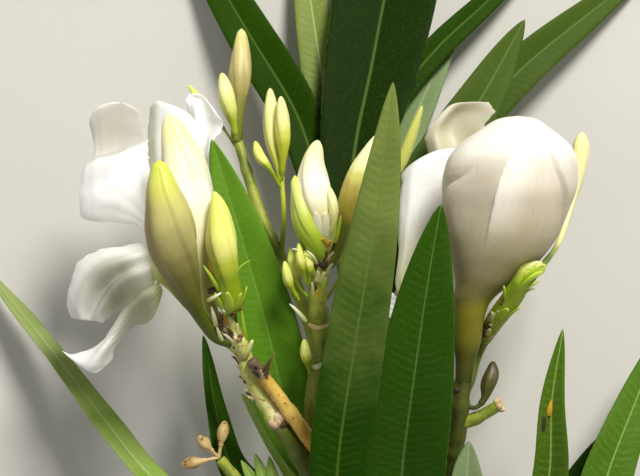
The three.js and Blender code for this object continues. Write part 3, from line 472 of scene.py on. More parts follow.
# Open flowers: the centre line of the tube up to the throat, and the petals. A petal is a net of places, row
# by row from the throat to its tip and each row from one rim to the other, or a centre line and a width.
OPEN_FLOWERS = {
    "bloom_left_open": {"tube": [
        (-17.2, -18.9, 45.7), (-20.5, -18.2, 41.5), (-27, -12.5, 40.8), (-31, -7.5, 40), (-32.8, -5, 39.8),
    ], "petals": [
        {"look": "upper_lobe_painted_light", "net": [
            [(-34.5, -2.4, 40), (-34, -1.8, 40.5), (-33.4, -1.2, 40.5), (-32.8, -0.8, 40)],
            [(-36.4, 1.8, 39), (-35.5, 3.2, 40), (-34.5, 4.9, 40), (-33.8, 6.5, 38.5)],
            [(-41.6, 3.3, 38), (-40.1, 6.7, 40), (-37.2, 10.1, 40.5), (-34.6, 11.8, 38.5)],
            [(-48.3, 3.7, 36.5), (-44.6, 8.1, 39.5), (-39.6, 13.4, 39.5), (-34.8, 16.3, 38)],
            [(-49.1, 9, 37), (-45.7, 10.8, 38.6), (-40.6, 13, 39), (-34.9, 16.4, 38.2)],
            [(-48.4, 13.9, 37.8), (-45.5, 15.4, 39), (-41, 16.6, 39), (-35.1, 19, 38.2)],
            [(-46.4, 17.2, 35), (-44.6, 17.8, 35), (-41, 18.8, 35.4), (-35.5, 21.2, 36.8)],
            [(-47, 24.1, 37), (-44.4, 25.6, 38.5), (-40.7, 26.5, 38.5), (-36.9, 25.7, 38)],
            [(-45.2, 26.9, 38.5), (-43.1, 27.4, 39), (-41, 27.6, 39), (-39.1, 27.2, 38.5)],
        ]},
        {"look": "left_painted_shade", "net": [
            [(-34, -1.6, 38), (-33.4, -1.2, 38.5), (-32.8, -1, 38.5), (-32.2, -1, 38)],
            [(-34.8, 4.7, 36), (-33, 5.3, 37.5), (-30.9, 5.3, 38.5), (-29, 4.7, 37.5)],
            [(-35.1, 12.9, 35.5), (-32.6, 13.5, 37.5), (-28.5, 13.4, 38.5), (-24.9, 12.7, 37)],
            [(-35.2, 18, 35.5), (-32.8, 18.8, 37.5), (-28, 18.7, 39), (-23.7, 17.6, 36.5)],
            [(-35.2, 23.2, 35.5), (-32.8, 24.1, 37.5), (-28, 23.2, 39), (-23.8, 21.3, 36)],
            [(-34.8, 26.6, 36), (-32.6, 26.9, 37.5), (-29.3, 26, 38.5), (-26.4, 25, 36.5)],
            [(-34, 27.8, 36.5), (-32.9, 28, 37), (-31.4, 27.5, 37.5), (-29.8, 27, 37)],
        ]},
        {"net": [
            [(-33.1, -1.4, 36.5), (-32.7, -1.2, 36.5), (-32.3, -1, 36.5), (-31.9, -1, 36)],
            [(-29.2, 7.8, 34.5), (-27.9, 8.2, 35), (-26.7, 8.2, 35), (-25.5, 7.8, 34.5)],
            [(-26.8, 15.1, 33), (-25.3, 15.6, 34), (-24, 16, 35), (-23.1, 16.4, 36.5)],
            [(-26.9, 21.3, 32), (-25.1, 21.8, 34), (-23.8, 21.3, 32.5), (-21.9, 19.4, 37)],
            [(-27.3, 26, 32.5), (-25.3, 26.4, 34), (-23.6, 24.8, 32), (-20, 22.1, 37)],
            [(-27.7, 28.7, 33), (-25.9, 29.2, 32), (-23.7, 27.7, 33), (-20.4, 24.5, 37)],
            [(-26.9, 29.8, 32.5), (-25.4, 29.7, 33), (-23.7, 28.9, 33.5), (-21.7, 25.6, 36)],
        ]},
        {"look": "shaded", "net": [
            [
                (-34.5, -2, 39.5), (-34, -2.8, 40.5), (-33.8, -3.4, 40.8), (-33.6, -4.5, 40.5),
                (-33.1, -5.5, 41), (-33.1, -7.5, 39.5),
            ],
            [
                (-37.1, -1.1, 38), (-36.2, -2.4, 41), (-35.7, -3.6, 42), (-35.4, -5.2, 41.2),
                (-34.8, -6.4, 42.5), (-34, -9.7, 40),
            ],
            [
                (-41.3, -1.8, 37), (-40, -3.2, 41), (-39.2, -4.6, 42.8), (-38.8, -6.6, 41), (-38, -7.6, 43),
                (-36.3, -11.2, 39.5),
            ],
            [
                (-45.7, -2.5, 36), (-43.9, -4, 41), (-42.6, -5.8, 43.2), (-41.7, -8.6, 41),
                (-40.7, -9.4, 43.5), (-38.8, -13.2, 39.5),
            ],
            [
                (-49.2, -4.7, 36), (-47.1, -6.3, 41), (-45.4, -7.8, 43.2), (-44.1, -11.2, 40.8),
                (-42.8, -11.9, 43), (-40.9, -14.4, 40),
            ],
            [
                (-51.1, -8.8, 36.5), (-49.2, -9.7, 40.5), (-47.5, -10.9, 42.5), (-45.5, -13.7, 40.5),
                (-44.2, -14.1, 42.5), (-42.6, -15.8, 40),
            ],
            [
                (-51.7, -13.1, 37), (-50.1, -13.6, 40), (-48.4, -14.1, 41.5), (-46.4, -15.4, 40.3),
                (-45, -15.5, 42), (-43.5, -16.6, 40.5),
            ],
            [
                (-50.7, -16.3, 38), (-49.5, -16.5, 39.5), (-48.2, -16.7, 40.5), (-46.6, -16.8, 40),
                (-45.3, -16.9, 41), (-43.9, -17.2, 40.5),
            ],
        ]},
        {"look": "curled", "net": [
            [(-32.7, -8.7, 41.5), (-32.2, -9.3, 42.5), (-31.8, -9.9, 42.5), (-31.7, -10.7, 41.5)],
            [(-34.5, -10.2, 43.5), (-33.8, -11.2, 45), (-33.3, -12.6, 44), (-33, -14.9, 42.5)],
            [(-37.4, -12.4, 45), (-36.5, -13.3, 46.5), (-35.6, -14.8, 45), (-34.6, -17.1, 43)],
            [(-39.7, -15, 46), (-38.8, -15.7, 47), (-37.9, -16.8, 45.5), (-37.1, -17.6, 44)],
            [(-41.6, -17.9, 46.5), (-40.7, -18.5, 47.5), (-40, -19.1, 46.5), (-39.6, -19.6, 45)],
            [(-43.1, -20.3, 46), (-42.8, -20.7, 47), (-42.3, -21.4, 48), (-41, -22.4, 45)],
            [(-46.5, -22.4, 44.5), (-45.1, -22.9, 46), (-44, -23.4, 48), (-41.7, -24.2, 44.5)],
            [(-50.1, -23.3, 44), (-47.9, -24.2, 45.5), (-45.3, -25.2, 47.5), (-43, -25.8, 45)],
            [(-51.9, -22.5, 44), (-49.6, -24.4, 45), (-46.6, -26.4, 46.5), (-44.7, -27, 46)],
        ]},
    ]},
    "bloom_right_back": {"tube": [
        (28, -34, 44.7), (25, -25, 39.5), (21.5, -17, 35.5), (20, -12, 34),
    ], "petals": [
        {"look": "yellowed", "net": [
            [(18.7, -12.7, 35), (19.3, -12.7, 35.5), (19.9, -12.9, 35.5), (20.5, -13.1, 35)],
            [(15.6, -10.7, 34), (16.8, -8.6, 35.5), (18.9, -7, 35), (21.7, -5.6, 33)],
            [(16, -3.5, 34.5), (17.6, -1.4, 36.5), (20.5, 0, 35.5), (24.8, 1.2, 33)],
            [(16.2, 4.7, 35), (18.4, 6.1, 37), (22.1, 6.8, 35.5), (27.3, 7.4, 32)],
            [(16.6, 9.9, 35), (19, 12.3, 37), (23.3, 12.9, 36), (29.4, 13, 32)],
            [(17.1, 13.6, 34.5), (20, 15.5, 36.5), (24.2, 17, 36), (30.2, 17.2, 32)],
            [(20.2, 16.1, 33.5), (22.6, 17.5, 35), (25.5, 18.3, 35), (28.5, 18.6, 33)],
        ]},
        {"look": "dull", "net": [
            [(21.5, -12.4, 33), (22.1, -12.4, 33.5), (22.7, -12.4, 33.5), (23.3, -12.6, 33)],
            [(22.9, 1.7, 30), (25.3, 2.1, 31), (28.2, 2.1, 31), (31.2, 1.2, 30)],
            [(22.9, 13.1, 29), (25.5, 13.7, 32), (28.8, 13.8, 29), (33.4, 12.5, 29)],
            [(22.3, 17.9, 30), (24.8, 18.2, 32.5), (28.2, 18.8, 28.5), (33.3, 18.3, 30)],
            [(21.8, 21, 31), (24.2, 21.9, 32), (27.6, 22.6, 28), (33.9, 22.8, 32)],
            [(22.8, 23, 32), (25.5, 24.8, 32), (28.8, 25.9, 29), (35.9, 26, 33)],
            [(26.1, 26.6, 31), (27.6, 27.8, 31.5), (30.7, 28.2, 31.5), (34.9, 28.1, 32.5)],
        ]},
        {"points": [(20.8, -13.2, 33), (29, -6, 29.5), (37, 3, 27.5), (43, 10, 27)], "width": 12},
        {"points": [(20.2, -13.5, 32.5), (25, -11, 27.5), (30, -6, 24), (34, -1, 22)], "width": 10},
        {"points": [(19.5, -13.5, 33.5), (15, -14, 32.5), (11.5, -13, 32.5), (8, -12, 33.5)], "width": 10},
    ]},
}

# The radius of a bud's body and of a flower's tube, at shares of the length
BUD_PROFILE = [
    (0, 0.3), (0.06, 0.42), (0.16, 0.44), (0.3, 0.66), (0.45, 0.92), (0.58, 1), (0.72, 0.92), (0.84, 0.71),
    (0.93, 0.48), (0.975, 0.3),
]
TUBE_PROFILE = [(0, 0.3), (0.3, 0.3), (0.36, 0.55), (0.5, 0.42), (0.75, 0.5), (0.9, 0.8), (1, 1)]

# Leaf colours: at the foot, at the tip, of the midrib and rim, how much the veins show, the shine, and the
# shares of the length where the change from foot to tip starts and ends
LEAF_COLOURS = {
    "olive": (0x1E4203, 0x768642, 0x5F762C, 0.3, 0.05, (0.42, 1.02)),
    "deep": (0x284E05, 0x2A4E08, 0x648040, 0.26, 0.06),
    "fresh": (0x4E7E10, 0x5E8A22, 0x7A9C42, 0.25),
    "folded": (0x3A540A, 0x4A6A12, 0xA3B46C, 0.25),
    "bright": (0x62782A, 0x7A8A42, 0xB2BE7C),
    "lime": (0x365C07, 0x4A7016, 0x9AB45C, 0.25),
    # painted light: a green far lighter than the leaf's own, to stand for sunlight on a leaf that lies in
    # shade
    "painted_sunlight": (0x9AC03C, 0xB0CC6C, 0xCCD894, 0.2),
    "young": (0x62862A, 0x86A648, 0xB4CA7A),
    "pale": (0x72982A, 0x8C9C5E, 0xB0BC7C, 0.2),
    "dark": (0x142802, 0x182C02, 0x587030, 0.06, 0.03),
    "shade": (0x1E3602, 0x264404, 0x567030, 0.08, 0.03),
    "dull": (0x344A14, 0x42581C, 0x6A7C44, 0.15, 0.05),
    "grey": (0x64804A, 0x768A5E, 0x9AA880, 0.15),
}

# Colours in stops along buds, petals and bracts
BUD_STOPS = {
    "olive": [
        (0, 0x48580A), (0.3, 0x556009), (0.4, 0x66661A), (0.5, 0x77742E), (0.6, 0x97904E), (0.7, 0xB2AA6C),
        (0.82, 0xCFC97C), (0.9, 0xD6D868), (1, 0xD2DE55),
    ],
    "white": [
        (0, 0x98A42C), (0.12, 0xB4BA4C), (0.25, 0xD2CC80), (0.4, 0xDED8A0), (0.55, 0xF4F0D6),
        (0.65, 0xFBF8EA), (0.8, 0xF8F2CC), (0.95, 0xF6EEB4),
    ],
    "cream": [(0, 0xB8BE52), (0.3, 0xDCDA88), (0.6, 0xE8E6A2), (1, 0xECEAAA)],
    "lobe": [
        (0, 0x84A01A), (0.3, 0x9AB424), (0.5, 0xB6C844), (0.7, 0xD2DC72), (0.85, 0xDAE280), (1, 0xD0DC66),
    ],
    "ochre": [
        (0, 0x64700E), (0.33, 0x66700C), (0.45, 0xA89C3A), (0.6, 0xC4B45A), (0.68, 0xE0DC7A),
        (0.74, 0xF6F2B4), (1, 0xFAFAC8),
    ],
    "tan": [(0, 0x5E6A1A), (0.3, 0x7E7C34), (0.5, 0xAA9E62), (0.7, 0xC6B87A), (0.9, 0xD8CE84), (1, 0xE0DA90)],
    "lemon": [(0, 0x7E9018), (0.4, 0xB6BE34), (0.55, 0xD2D65C), (0.7, 0xE8E594), (1, 0xF0EDA8)],
    "lemon_dull": [(0, 0x7E9018), (0.4, 0x929E24), (0.55, 0xA8AC3E), (0.7, 0xB8BA58), (1, 0xBEC05E)],
    "fresh": [(0, 0x7A8F14), (0.35, 0xA8BC30), (0.55, 0xE0E684), (0.8, 0xEAEEAA), (1, 0xDEE88C)],
    "green": [
        (0, 0x90AA1C), (0.2, 0x8CA612), (0.38, 0x8EA612), (0.5, 0xBECA3C), (0.63, 0xECEC86), (0.85, 0xE6EE78),
        (1, 0xDDE870),
    ],
    "tall": [
        (0, 0x44500A), (0.14, 0x5A6A0E), (0.2, 0x8EA01E), (0.38, 0x9FB620), (0.46, 0x8EA41C), (0.5, 0x6E7E1E),
        (0.58, 0x4E6A22), (0.63, 0x8E9E4A), (0.7, 0xE6E2A0), (0.85, 0xF4F0BC), (1, 0xEFEBA6),
    ],
    "spent": [(0, 0x3E4A12), (0.5, 0x464814), (0.8, 0x504A1C), (1, 0x3A2C14)],
}
PETAL_STOPS = {
    "plain": [(0, 0xC9CE7A), (0.06, 0xE8E6C4), (0.16, 0xFBFAF6), (1, 0xFCFBF8)],
    "yellowed": [(0, 0xC9CE7A), (0.12, 0xDCD8A4), (0.3, 0xF0ECD0), (0.5, 0xFBFAF6), (1, 0xFCFBF8)],
    # painted shade: the whole petal greyed to stand for the shade it lies in
    "dull": [(0, 0xC0BC8A), (0.3, 0xCEC8AC), (1, 0xCEC9B4)],
    # painted shade: grey from about 0.7 to 0.85 of the length, on the upper lobe that turns from the light
    "upper_lobe_painted_light": [
        (0, 0xC9CE7A), (0.06, 0xE8E6C4), (0.16, 0xFBFAF6), (0.58, 0xFCFBF8), (0.7, 0xCCC9C0),
        (0.85, 0xD6D3CA), (1, 0xF2EEE8),
    ],
    "left_painted_shade": [(0, 0xC9CE7A), (0.06, 0xE8E6C4), (0.16, 0xF6F5EE), (1, 0xFBFAF6)],
    # painted shade: grey over the middle of the petal, which lies in the shade of the buds over it
    "shaded": [
        (0, 0xE4E5CC), (0.15, 0xEEEDE2), (0.35, 0xB2B4A6), (0.5, 0xA4A69A), (0.75, 0xC6C7C0), (1, 0xEAE9E2),
    ],
    # greyer towards the foot: partly the petal's own green, partly painted shade
    "curled": [(0, 0xD0D2A6), (0.2, 0xD8D8BC), (0.45, 0xD8D8C8), (0.7, 0xF0EEE6), (1, 0xFCFBF8)],
    # darker and browner towards the foot: partly the tube's own green, partly painted shade under the bloom's
    # flare
    "closed": [
        (0, 0x343C06), (0.1, 0x4A4E06), (0.2, 0x747010), (0.3, 0x888220), (0.36, 0x8C844A), (0.45, 0x9E946A),
        (0.54, 0xB2A888), (0.64, 0xC8BEA6), (0.76, 0xDDD5C4), (0.9, 0xF6F1E8),
    ],
}
TUBE_STOPS = [(0, 0x7E9A1C), (0.4, 0x9AB42A), (0.8, 0xB9C25A), (1, 0xDDE3A0)]
BRACT_STOPS = {
    "ivory": [(0, 0xB2BC66), (0.4, 0xD6D6A0), (0.8, 0xEDE9CC), (1, 0xF4F0DC)],
    "straw": [(0, 0xA8AA50), (0.5, 0xC6C676), (1, 0xDEDAA0)],
    "green": [(0, 0x98B422), (0.5, 0xA8C62A), (1, 0xBED244)],
    "cream": [(0, 0xA8B83A), (0.35, 0xD2D888), (0.7, 0xE8E4B8), (1, 0xEEE6C8)],
    "lime": [(0, 0xB4C63A), (0.5, 0xD2DC5A), (1, 0xE2E87E)],
    "tan": [(0, 0xA88A56), (0.5, 0xC8AC7C), (1, 0xDCC69A)],
    "blush": [(0, 0xA08064), (0.5, 0xC4A486), (1, 0xDCC2A2)],
    "brown": [(0, 0x644A22), (0.5, 0x4E3A22), (1, 0x7A5A30)],
    "dark": [(0, 0x3A2A16), (0.5, 0x33241A), (1, 0x4A3420)],
    "amber": [(0, 0xB08A18), (0.5, 0xD2A42A), (1, 0xC99A20)],
}

# How rough the petals and the withered bracts are, and how much light passes into the plain petals
PETAL_ROUGHNESS = 0.5
BRACT_ROUGHNESS = {"tan": 0.7, "blush": 0.7, "brown": 0.7, "dark": 0.8, "amber": 0.6}
PETAL_GLOW = {"plain": 0.35}

# Blushes on buds, and painted shade and painted highlights on petals: the colour, its strength, the places
# across where it starts and is full, those where it ends, and the shares along that it lies between
BLUSHES_AND_PAINTED_LIGHT = {
    "bud_olive": [(0x86683A, 0.65, (-0.35, -0.95), (-3, -2), (0.5, 0.9))],
    # painted light: the right side of that petal's upper lobe lighter
    "petals_upper_lobe_painted_light": [(0xF6F3EC, 0.8, (0.1, 0.6), (2, 3), (0.6, 1))],
    # painted shade: a grey band over the left side of this petal
    "petals_left_painted_shade": [(0xB6B9A6, 0.85, (-0.1, -0.75), (-3, -2), (0.3, 0.95))],
    # painted light: a lighter band along the shaded petal's left rim
    "petals_shaded": [(0xF6F4EE, 0.9, (-0.2, -0.75), (-3, -2), (0, 1))],
    "petals_closed": [
        # painted shade: the right facet greyer
        (0xA49A74, 0.5, (0.5, 0.95), (2, 3), (0.45, 0.93)),
        # painted shade: a soft band just left of the front fold
        (0xA0967A, 0.5, (0, -0.05), (-0.75, -0.15), (0.52, 0.84)),
        # painted highlight: a bright band just right of the front fold
        (0xFFFCF2, 0.6, (-0.02, 0.04), (0.6, 0.12), (0.62, 0.84)),
    ],
}


# Curves and frames

class Curve:
    """A centripetal Catmull-Rom curve through some points, measured along its length from 0 to 1."""

    SPAN_STEPS = 30
    STEP_ALONG = 0.004

    def __init__(self, points):
        knots = np.array(points, float)
        knots = np.vstack([2 * knots[0] - knots[1], knots, 2 * knots[-1] - knots[-2]])
        gaps = np.sqrt(np.linalg.norm(np.diff(knots, axis=0), axis=1))
        steps = np.linspace(0, 1, self.SPAN_STEPS, endpoint=False)[:, None]
        places = []
        for i in range(len(knots) - 3):
            a, b, c, d = knots[i:i + 4]
            before, here, after = gaps[i:i + 3]
            leave = ((b - a) / before - (c - a) / (before + here) + (c - b) / here) * here
            reach = ((c - b) / here - (d - b) / (here + after) + (d - c) / after) * here
            cubic = 2 * b - 2 * c + leave + reach
            square = -3 * b + 3 * c - 2 * leave - reach
            places.append(b + leave * steps + square * steps ** 2 + cubic * steps ** 3)
        self.places = np.vstack(places + [knots[-2:-1]])
        lengths = np.linalg.norm(np.diff(self.places, axis=0), axis=1)
        self.measure = np.concatenate([[0], np.cumsum(lengths)])
        self.length = self.measure[-1]

    def at(self, shares):
        wanted = np.asarray(shares) * self.length
        return np.stack([np.interp(wanted, self.measure, self.places[:, k]) for k in range(3)], axis=-1)

    def along(self, shares):
        shares = np.asarray(shares)
        before = self.at(np.maximum(shares - self.STEP_ALONG, 0))
        return unit(self.at(np.minimum(shares + self.STEP_ALONG, 1)) - before)


def unit(vectors):
    return vectors / np.maximum(np.linalg.norm(vectors, axis=-1, keepdims=True), 1e-12)


def frames(curve, shares, faces=(UP, UP), axis=None):
    """Centres on the curve, its directions there, and two directions square to each."""
    along = np.tile(np.array(axis, float), (len(shares), 1)) if axis else curve.along(shares)
    foot, tip = np.array(faces, float)
    across = unit(np.cross(along, foot + (tip - foot) * shares[:, None]))
    return curve.at(shares), along, across, np.cross(across, along)


def smooth_values(pairs, shares):
    """Values at shares, on a smooth curve through pairs of a share and a value."""
    line = Curve([(share, value, 0) for share, value in pairs]).places
    return np.interp(shares, line[:, 0], line[:, 1])


def smooth_step(low, high, values):
    t = np.clip((np.asarray(values) - low) / (high - low), 0, 1)
    return t * t * (3 - 2 * t)


def hump(values, width):
    """1 at 0, and falling away smoothly on both sides of it."""
    return np.exp(-(values / width) ** 2)


def lumps(places, size, seed=0):
    """Smooth noise between about -1 and 1 at places in millimetres, with features of that size."""
    apart = 17.3
    flat = (places / size + apart * seed).reshape(-1, 3)
    values = [noise.noise(Vector(place)) for place in flat]
    return np.array(values).reshape(places.shape[:-1])


# Forms

class Form:
    """A grid of points, ring by ring, each with two marks that the materials read: place, its distances
    across and along in millimetres, and form, its side or direction round, its share along and its face."""

    def __init__(self, grid, reach, length, side, shares, face):
        side, share, face = (np.broadcast_to(part, reach.shape) for part in (side, shares[:, None], face))
        self.grid = grid
        self.place = np.stack([reach, share * length, np.zeros_like(reach)], axis=-1)
        self.form = np.stack([side, share, face], axis=-1)


def rod(points, shares, radii, sides, shape=None, axis=None):
    """A round form along a curve. shape changes the angles and radii, given the shares along it."""
    curve = Curve(points)
    centre, along, across, facing = frames(curve, shares, axis=axis)
    angles = np.linspace(0, 2 * np.pi, sides, endpoint=False)[None, :]
    reach = np.repeat(np.asarray(radii, float)[:, None], sides, axis=1)
    if shape:
        angles, reach = shape(angles, shares[:, None], reach)
    grid = centre[:, None] + across[:, None] * (reach * np.cos(angles))[..., None]
    grid = grid + facing[:, None] * (reach * np.sin(angles))[..., None]
    return Form(grid, reach, curve.length, np.cos(angles), shares, np.sin(angles))


def capped(shares, radii):
    """Shares and radii of a rod that is shut at both its ends."""
    return np.concatenate([[0], shares, [1]]), np.concatenate([[0], radii, [0]])


def around(count):
    """Places across a thin sheet, from its right rim over its face to the left rim and back underneath."""
    face = np.cos(np.linspace(0, np.pi, count // 2, endpoint=False))
    rank = np.sign(face) * np.abs(face) ** 1.25
    sides = np.concatenate([rank, -rank])
    upper = np.concatenate([np.ones(count // 2), -np.ones(count // 2)])
    upper[0] = upper[count // 2] = 0
    return sides, upper


def rounded(places, power):
    """1 over most of a sheet, and falling to 0 where places reach 1."""
    return np.sqrt(np.clip(1 - places ** power, 0, 1))


def sheet(spec, shares, half, count, thickness, height):
    """A thin closed form with its half width at each share. height lifts its middle layer, given the
    distances across, the sides, the faces and the distances along."""
    curve = Curve(spec["points"])
    centre, along, across, facing = frames(curve, shares, spec.get("faces", (UP, UP)))
    sides, upper = around(count)
    reach = half[:, None] * sides
    body = np.minimum(1, half / thickness)[:, None]
    lift = height(reach, sides, upper, shares[:, None] * curve.length)
    lift = lift + upper * rounded(sides, 8) * body * thickness / 2
    grid = centre[:, None] + across[:, None] * reach[..., None] + facing[:, None] * lift[..., None]
    return Form(grid, reach, curve.length, sides, shares, upper)


def mesh_of(name, forms):
    """One mesh from several closed forms. Their end rings are shut to a point or a line."""
    merge_distance = 1e-7
    faces, start = [], 0
    for one in forms:
        rings, sides = one.grid.shape[:2]
        row = np.arange(sides)
        following = (row + 1) % sides
        for low in range(start, start + (rings - 1) * sides, sides):
            high = low + sides
            ring = [low + row, low + following, high + following, high + row]
            faces.extend(np.stack(ring, axis=1).tolist())
        start += rings * sides
    corners = (np.vstack([one.grid.reshape(-1, 3) for one in forms]) - MIDDLE) * MM
    corners[:, 2] = np.maximum(corners[:, 2], 0)
    mesh = bpy.data.meshes.new(name)
    mesh.from_pydata(corners.tolist(), [], faces)
    for mark in ("place", "form"):
        values = np.vstack([getattr(one, mark).reshape(-1, 3) for one in forms]).astype(np.float32)
        mesh.attributes.new(mark, "FLOAT_VECTOR", "POINT").data.foreach_set("vector", values.ravel())
    shaped = bmesh.new()
    shaped.from_mesh(mesh)
    bmesh.ops.remove_doubles(shaped, verts=shaped.verts, dist=merge_distance)
    bmesh.ops.dissolve_degenerate(shaped, dist=merge_distance, edges=shaped.edges)
    bmesh.ops.recalc_face_normals(shaped, faces=shaped.faces)
    shaped.to_mesh(mesh)
    shaped.free()
    mesh.validate()
    mesh.shade_smooth()
    return mesh


def add_object(name, data):
    made = bpy.data.objects.new(name, data)
    bpy.context.scene.collection.objects.link(made)
    return made


def piece(name, forms, look, slot, *nodes):
    """Adds a piece that rides on the branch, and stands for the CAD nodes named."""
    made = add_object(name, mesh_of(name, forms))
    made.data.materials.append(look)
    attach(made, "root")
    if nodes:
        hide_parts(*nodes)


# Materials

def colour(code):
    """A colour written as 0xRRGGBB, as the shader takes it."""
    parts = [((code >> shift) & 255) / 255 for shift in (16, 8, 0)]
    return [part / 12.92 if part <= 0.04045 else ((part + 0.055) / 1.055) ** 2.4 for part in parts] + [1]


class Paint:
    """A node material in the making. Each method adds a node and returns what comes out of it."""

    def __init__(self, name, roughness, **settings):
        self.material = bpy.data.materials.new(name)
        self.material.use_nodes = True
        self.tree = self.material.node_tree
        self.shader = self.tree.nodes["Principled BSDF"]
        self.shader.inputs["Roughness"].default_value = roughness
        for key, value in settings.items():
            self.shader.inputs[key.replace("_", " ")].default_value = value
        self.coordinates = self.tree.nodes.new("ShaderNodeTexCoord").outputs["Object"]

    def add(self, kind, inputs, **settings):
        node = self.tree.nodes.new(kind)
        for key, value in settings.items():
            setattr(node, key, value)
        for key, value in inputs.items():
            if isinstance(value, bpy.types.NodeSocket):
                self.tree.links.new(value, node.inputs[key])
            else:
                node.inputs[key].default_value = value
        return node

    def marks(self, name):
        node = self.add("ShaderNodeAttribute", {}, attribute_name=name)
        return self.add("ShaderNodeSeparateXYZ", {0: node.outputs["Vector"]}).outputs[:3]

    def noise(self, size, detail=3, stretch=(1, 1, 1)):
        """Noise from 0 to 1 with features of that many millimetres."""
        mapped = self.add("ShaderNodeMapping", {"Vector": self.coordinates, "Scale": stretch})
        inputs = {"Vector": mapped.outputs[0], "Scale": 1 / (size * MM), "Detail": detail}
        return self.add("ShaderNodeTexNoise", inputs).outputs["Fac"]

    def math(self, operation, first, second=0.0):
        return self.add("ShaderNodeMath", {0: first, 1: second}, operation=operation).outputs[0]

    def plus(self, first, second):
        return self.math("ADD", first, second)

    def times(self, first, *others):
        for other in others:
            first = self.math("MULTIPLY", first, other)
        return first

    def swayed(self, value, cloud, reach):
        """The value, shifted up and down by noise."""
        return self.plus(value, self.times(self.math("SUBTRACT", cloud, 0.5), reach))

    def step(self, value, low, high):
        inputs = {"Value": value, "From Min": low, "From Max": high}
        return self.add("ShaderNodeMapRange", inputs, interpolation_type="SMOOTHSTEP").outputs[0]

    def mix(self, factor, first, second):
        """Goes from the first colour to the second, each a code or what another node gives."""
        first, second = (colour(code) if isinstance(code, int) else code for code in (first, second))
        return self.add("ShaderNodeMix", {0: factor, 6: first, 7: second}, data_type="RGBA").outputs[2]

    def ramp(self, value, stops):
        """A colour that runs smoothly through stops of a place from 0 to 1 and a colour."""
        node = self.add("ShaderNodeValToRGB", {0: value})
        node.color_ramp.interpolation = "EASE"
        ends = node.color_ramp.elements
        while len(ends) < len(stops):
            ends.new(0.5)
        for end, (place, _) in zip(ends, stops):
            end.position = place
        for end, (place, code) in zip(ends, stops):
            end.color = colour(code)
        return node.outputs[0]

    def bump(self, height, distance, strength=1.0):
        inputs = {"Height": height, "Distance": distance * MM, "Strength": strength}
        node = self.add("ShaderNodeBump", inputs)
        self.tree.links.new(node.outputs[0], self.shader.inputs["Normal"])

    def finish(self, base, roughness=None):
        self.tree.links.new(base, self.shader.inputs["Base Color"])
        if roughness is not None:
            self.tree.links.new(roughness, self.shader.inputs["Roughness"])
        return self.material


def leaf_look(name, foot, tip, rib, veins=0.3, shine=0.12, span=(0.15, 0.95)):
    """A leathery leaf: its green runs from foot to tip, with fine side veins and a pale midrib and rim."""
    paint = Paint(name, 0.5, Specular_IOR_Level=shine)
    across, along, _ = paint.marks("place")
    side, share, upper = paint.marks("form")
    distance = paint.math("ABSOLUTE", across)
    reach = paint.math("ABSOLUTE", side)
    grain = paint.noise(0.6, 3)
    green = paint.mix(paint.step(paint.swayed(share, paint.noise(9, 4), 0.5), *span), foot, tip)
    light = paint.mix(0.3, green, rib)

    slant = paint.math("SUBTRACT", along, paint.times(distance, VEIN_SLANT))
    turns = paint.times(paint.plus(slant, paint.times(paint.noise(3, 3), 2.2)), 2 * math.pi / VEIN_SPACING)
    vein = paint.step(paint.math("SINE", turns), 0.1, 1)
    inner = paint.step(reach, 0.97, 0.55)
    broken = paint.step(paint.noise(2.5, 2), 0.3, 0.6)
    green = paint.mix(paint.times(vein, inner, broken, veins), green, light)
    green = paint.mix(paint.times(paint.step(grain, 0.45, 0.75), 0.3), green, light)
    green = paint.mix(paint.times(paint.step(upper, 0.2, -0.2), 0.35), green, rib)

    width = paint.math("SUBTRACT", 0.5, paint.times(share, 0.38))
    midrib = paint.step(paint.math("DIVIDE", distance, width), 1.2, 0.3)
    green = paint.mix(paint.times(midrib, 0.6), green, rib)
    rim = paint.times(paint.step(reach, 0.97, 1), paint.step(paint.noise(1.5, 2), 0.35, 0.65))
    green = paint.mix(paint.times(rim, 0.7), green, rib)
    green = paint.mix(paint.step(share, 0.07, 0.01), green, rib)
    paint.bump(paint.plus(paint.times(vein, 0.5), grain), 0.05, 0.7)
    return paint.finish(green, paint.plus(0.42, paint.times(grain, 0.2)))


def soft_look(name, stops, roughness=0.45, glow=0.25):
    """Petals, buds and sepals: colours in stops along them, blushes, painted light and shade, and fine
    streaks.
    """
    fade = 0.12
    through = {"Subsurface_Scale": 0.003, "Subsurface_Radius": (1, 0.8, 0.45)}
    paint = Paint(name, roughness, Subsurface_Weight=glow, **through)
    side, share, _ = paint.marks("form")
    tint = paint.ramp(paint.swayed(share, paint.noise(4, 3), 0.1), stops)
    # Blushes: a bud's own tint, and painted shade and painted highlights on petals
    for code, strength, rise, fall, (low, high) in BLUSHES_AND_PAINTED_LIGHT.get(name, ()):
        there = paint.times(paint.step(side, *rise), paint.step(side, *fall))
        start, end = paint.step(share, low - fade, low + fade), paint.step(share, high + fade, high - fade)
        tint = paint.mix(paint.times(there, paint.times(start, end), strength), tint, code)
    streak = paint.noise(0.7, 2, (1, 0.2, 1))
    tint = paint.mix(paint.times(paint.step(streak, 0.5, 0.85), 0.12), tint, stops[0][1])
    paint.bump(paint.plus(streak, paint.noise(0.4, 2)), 0.04, 0.6)
    return paint.finish(tint)


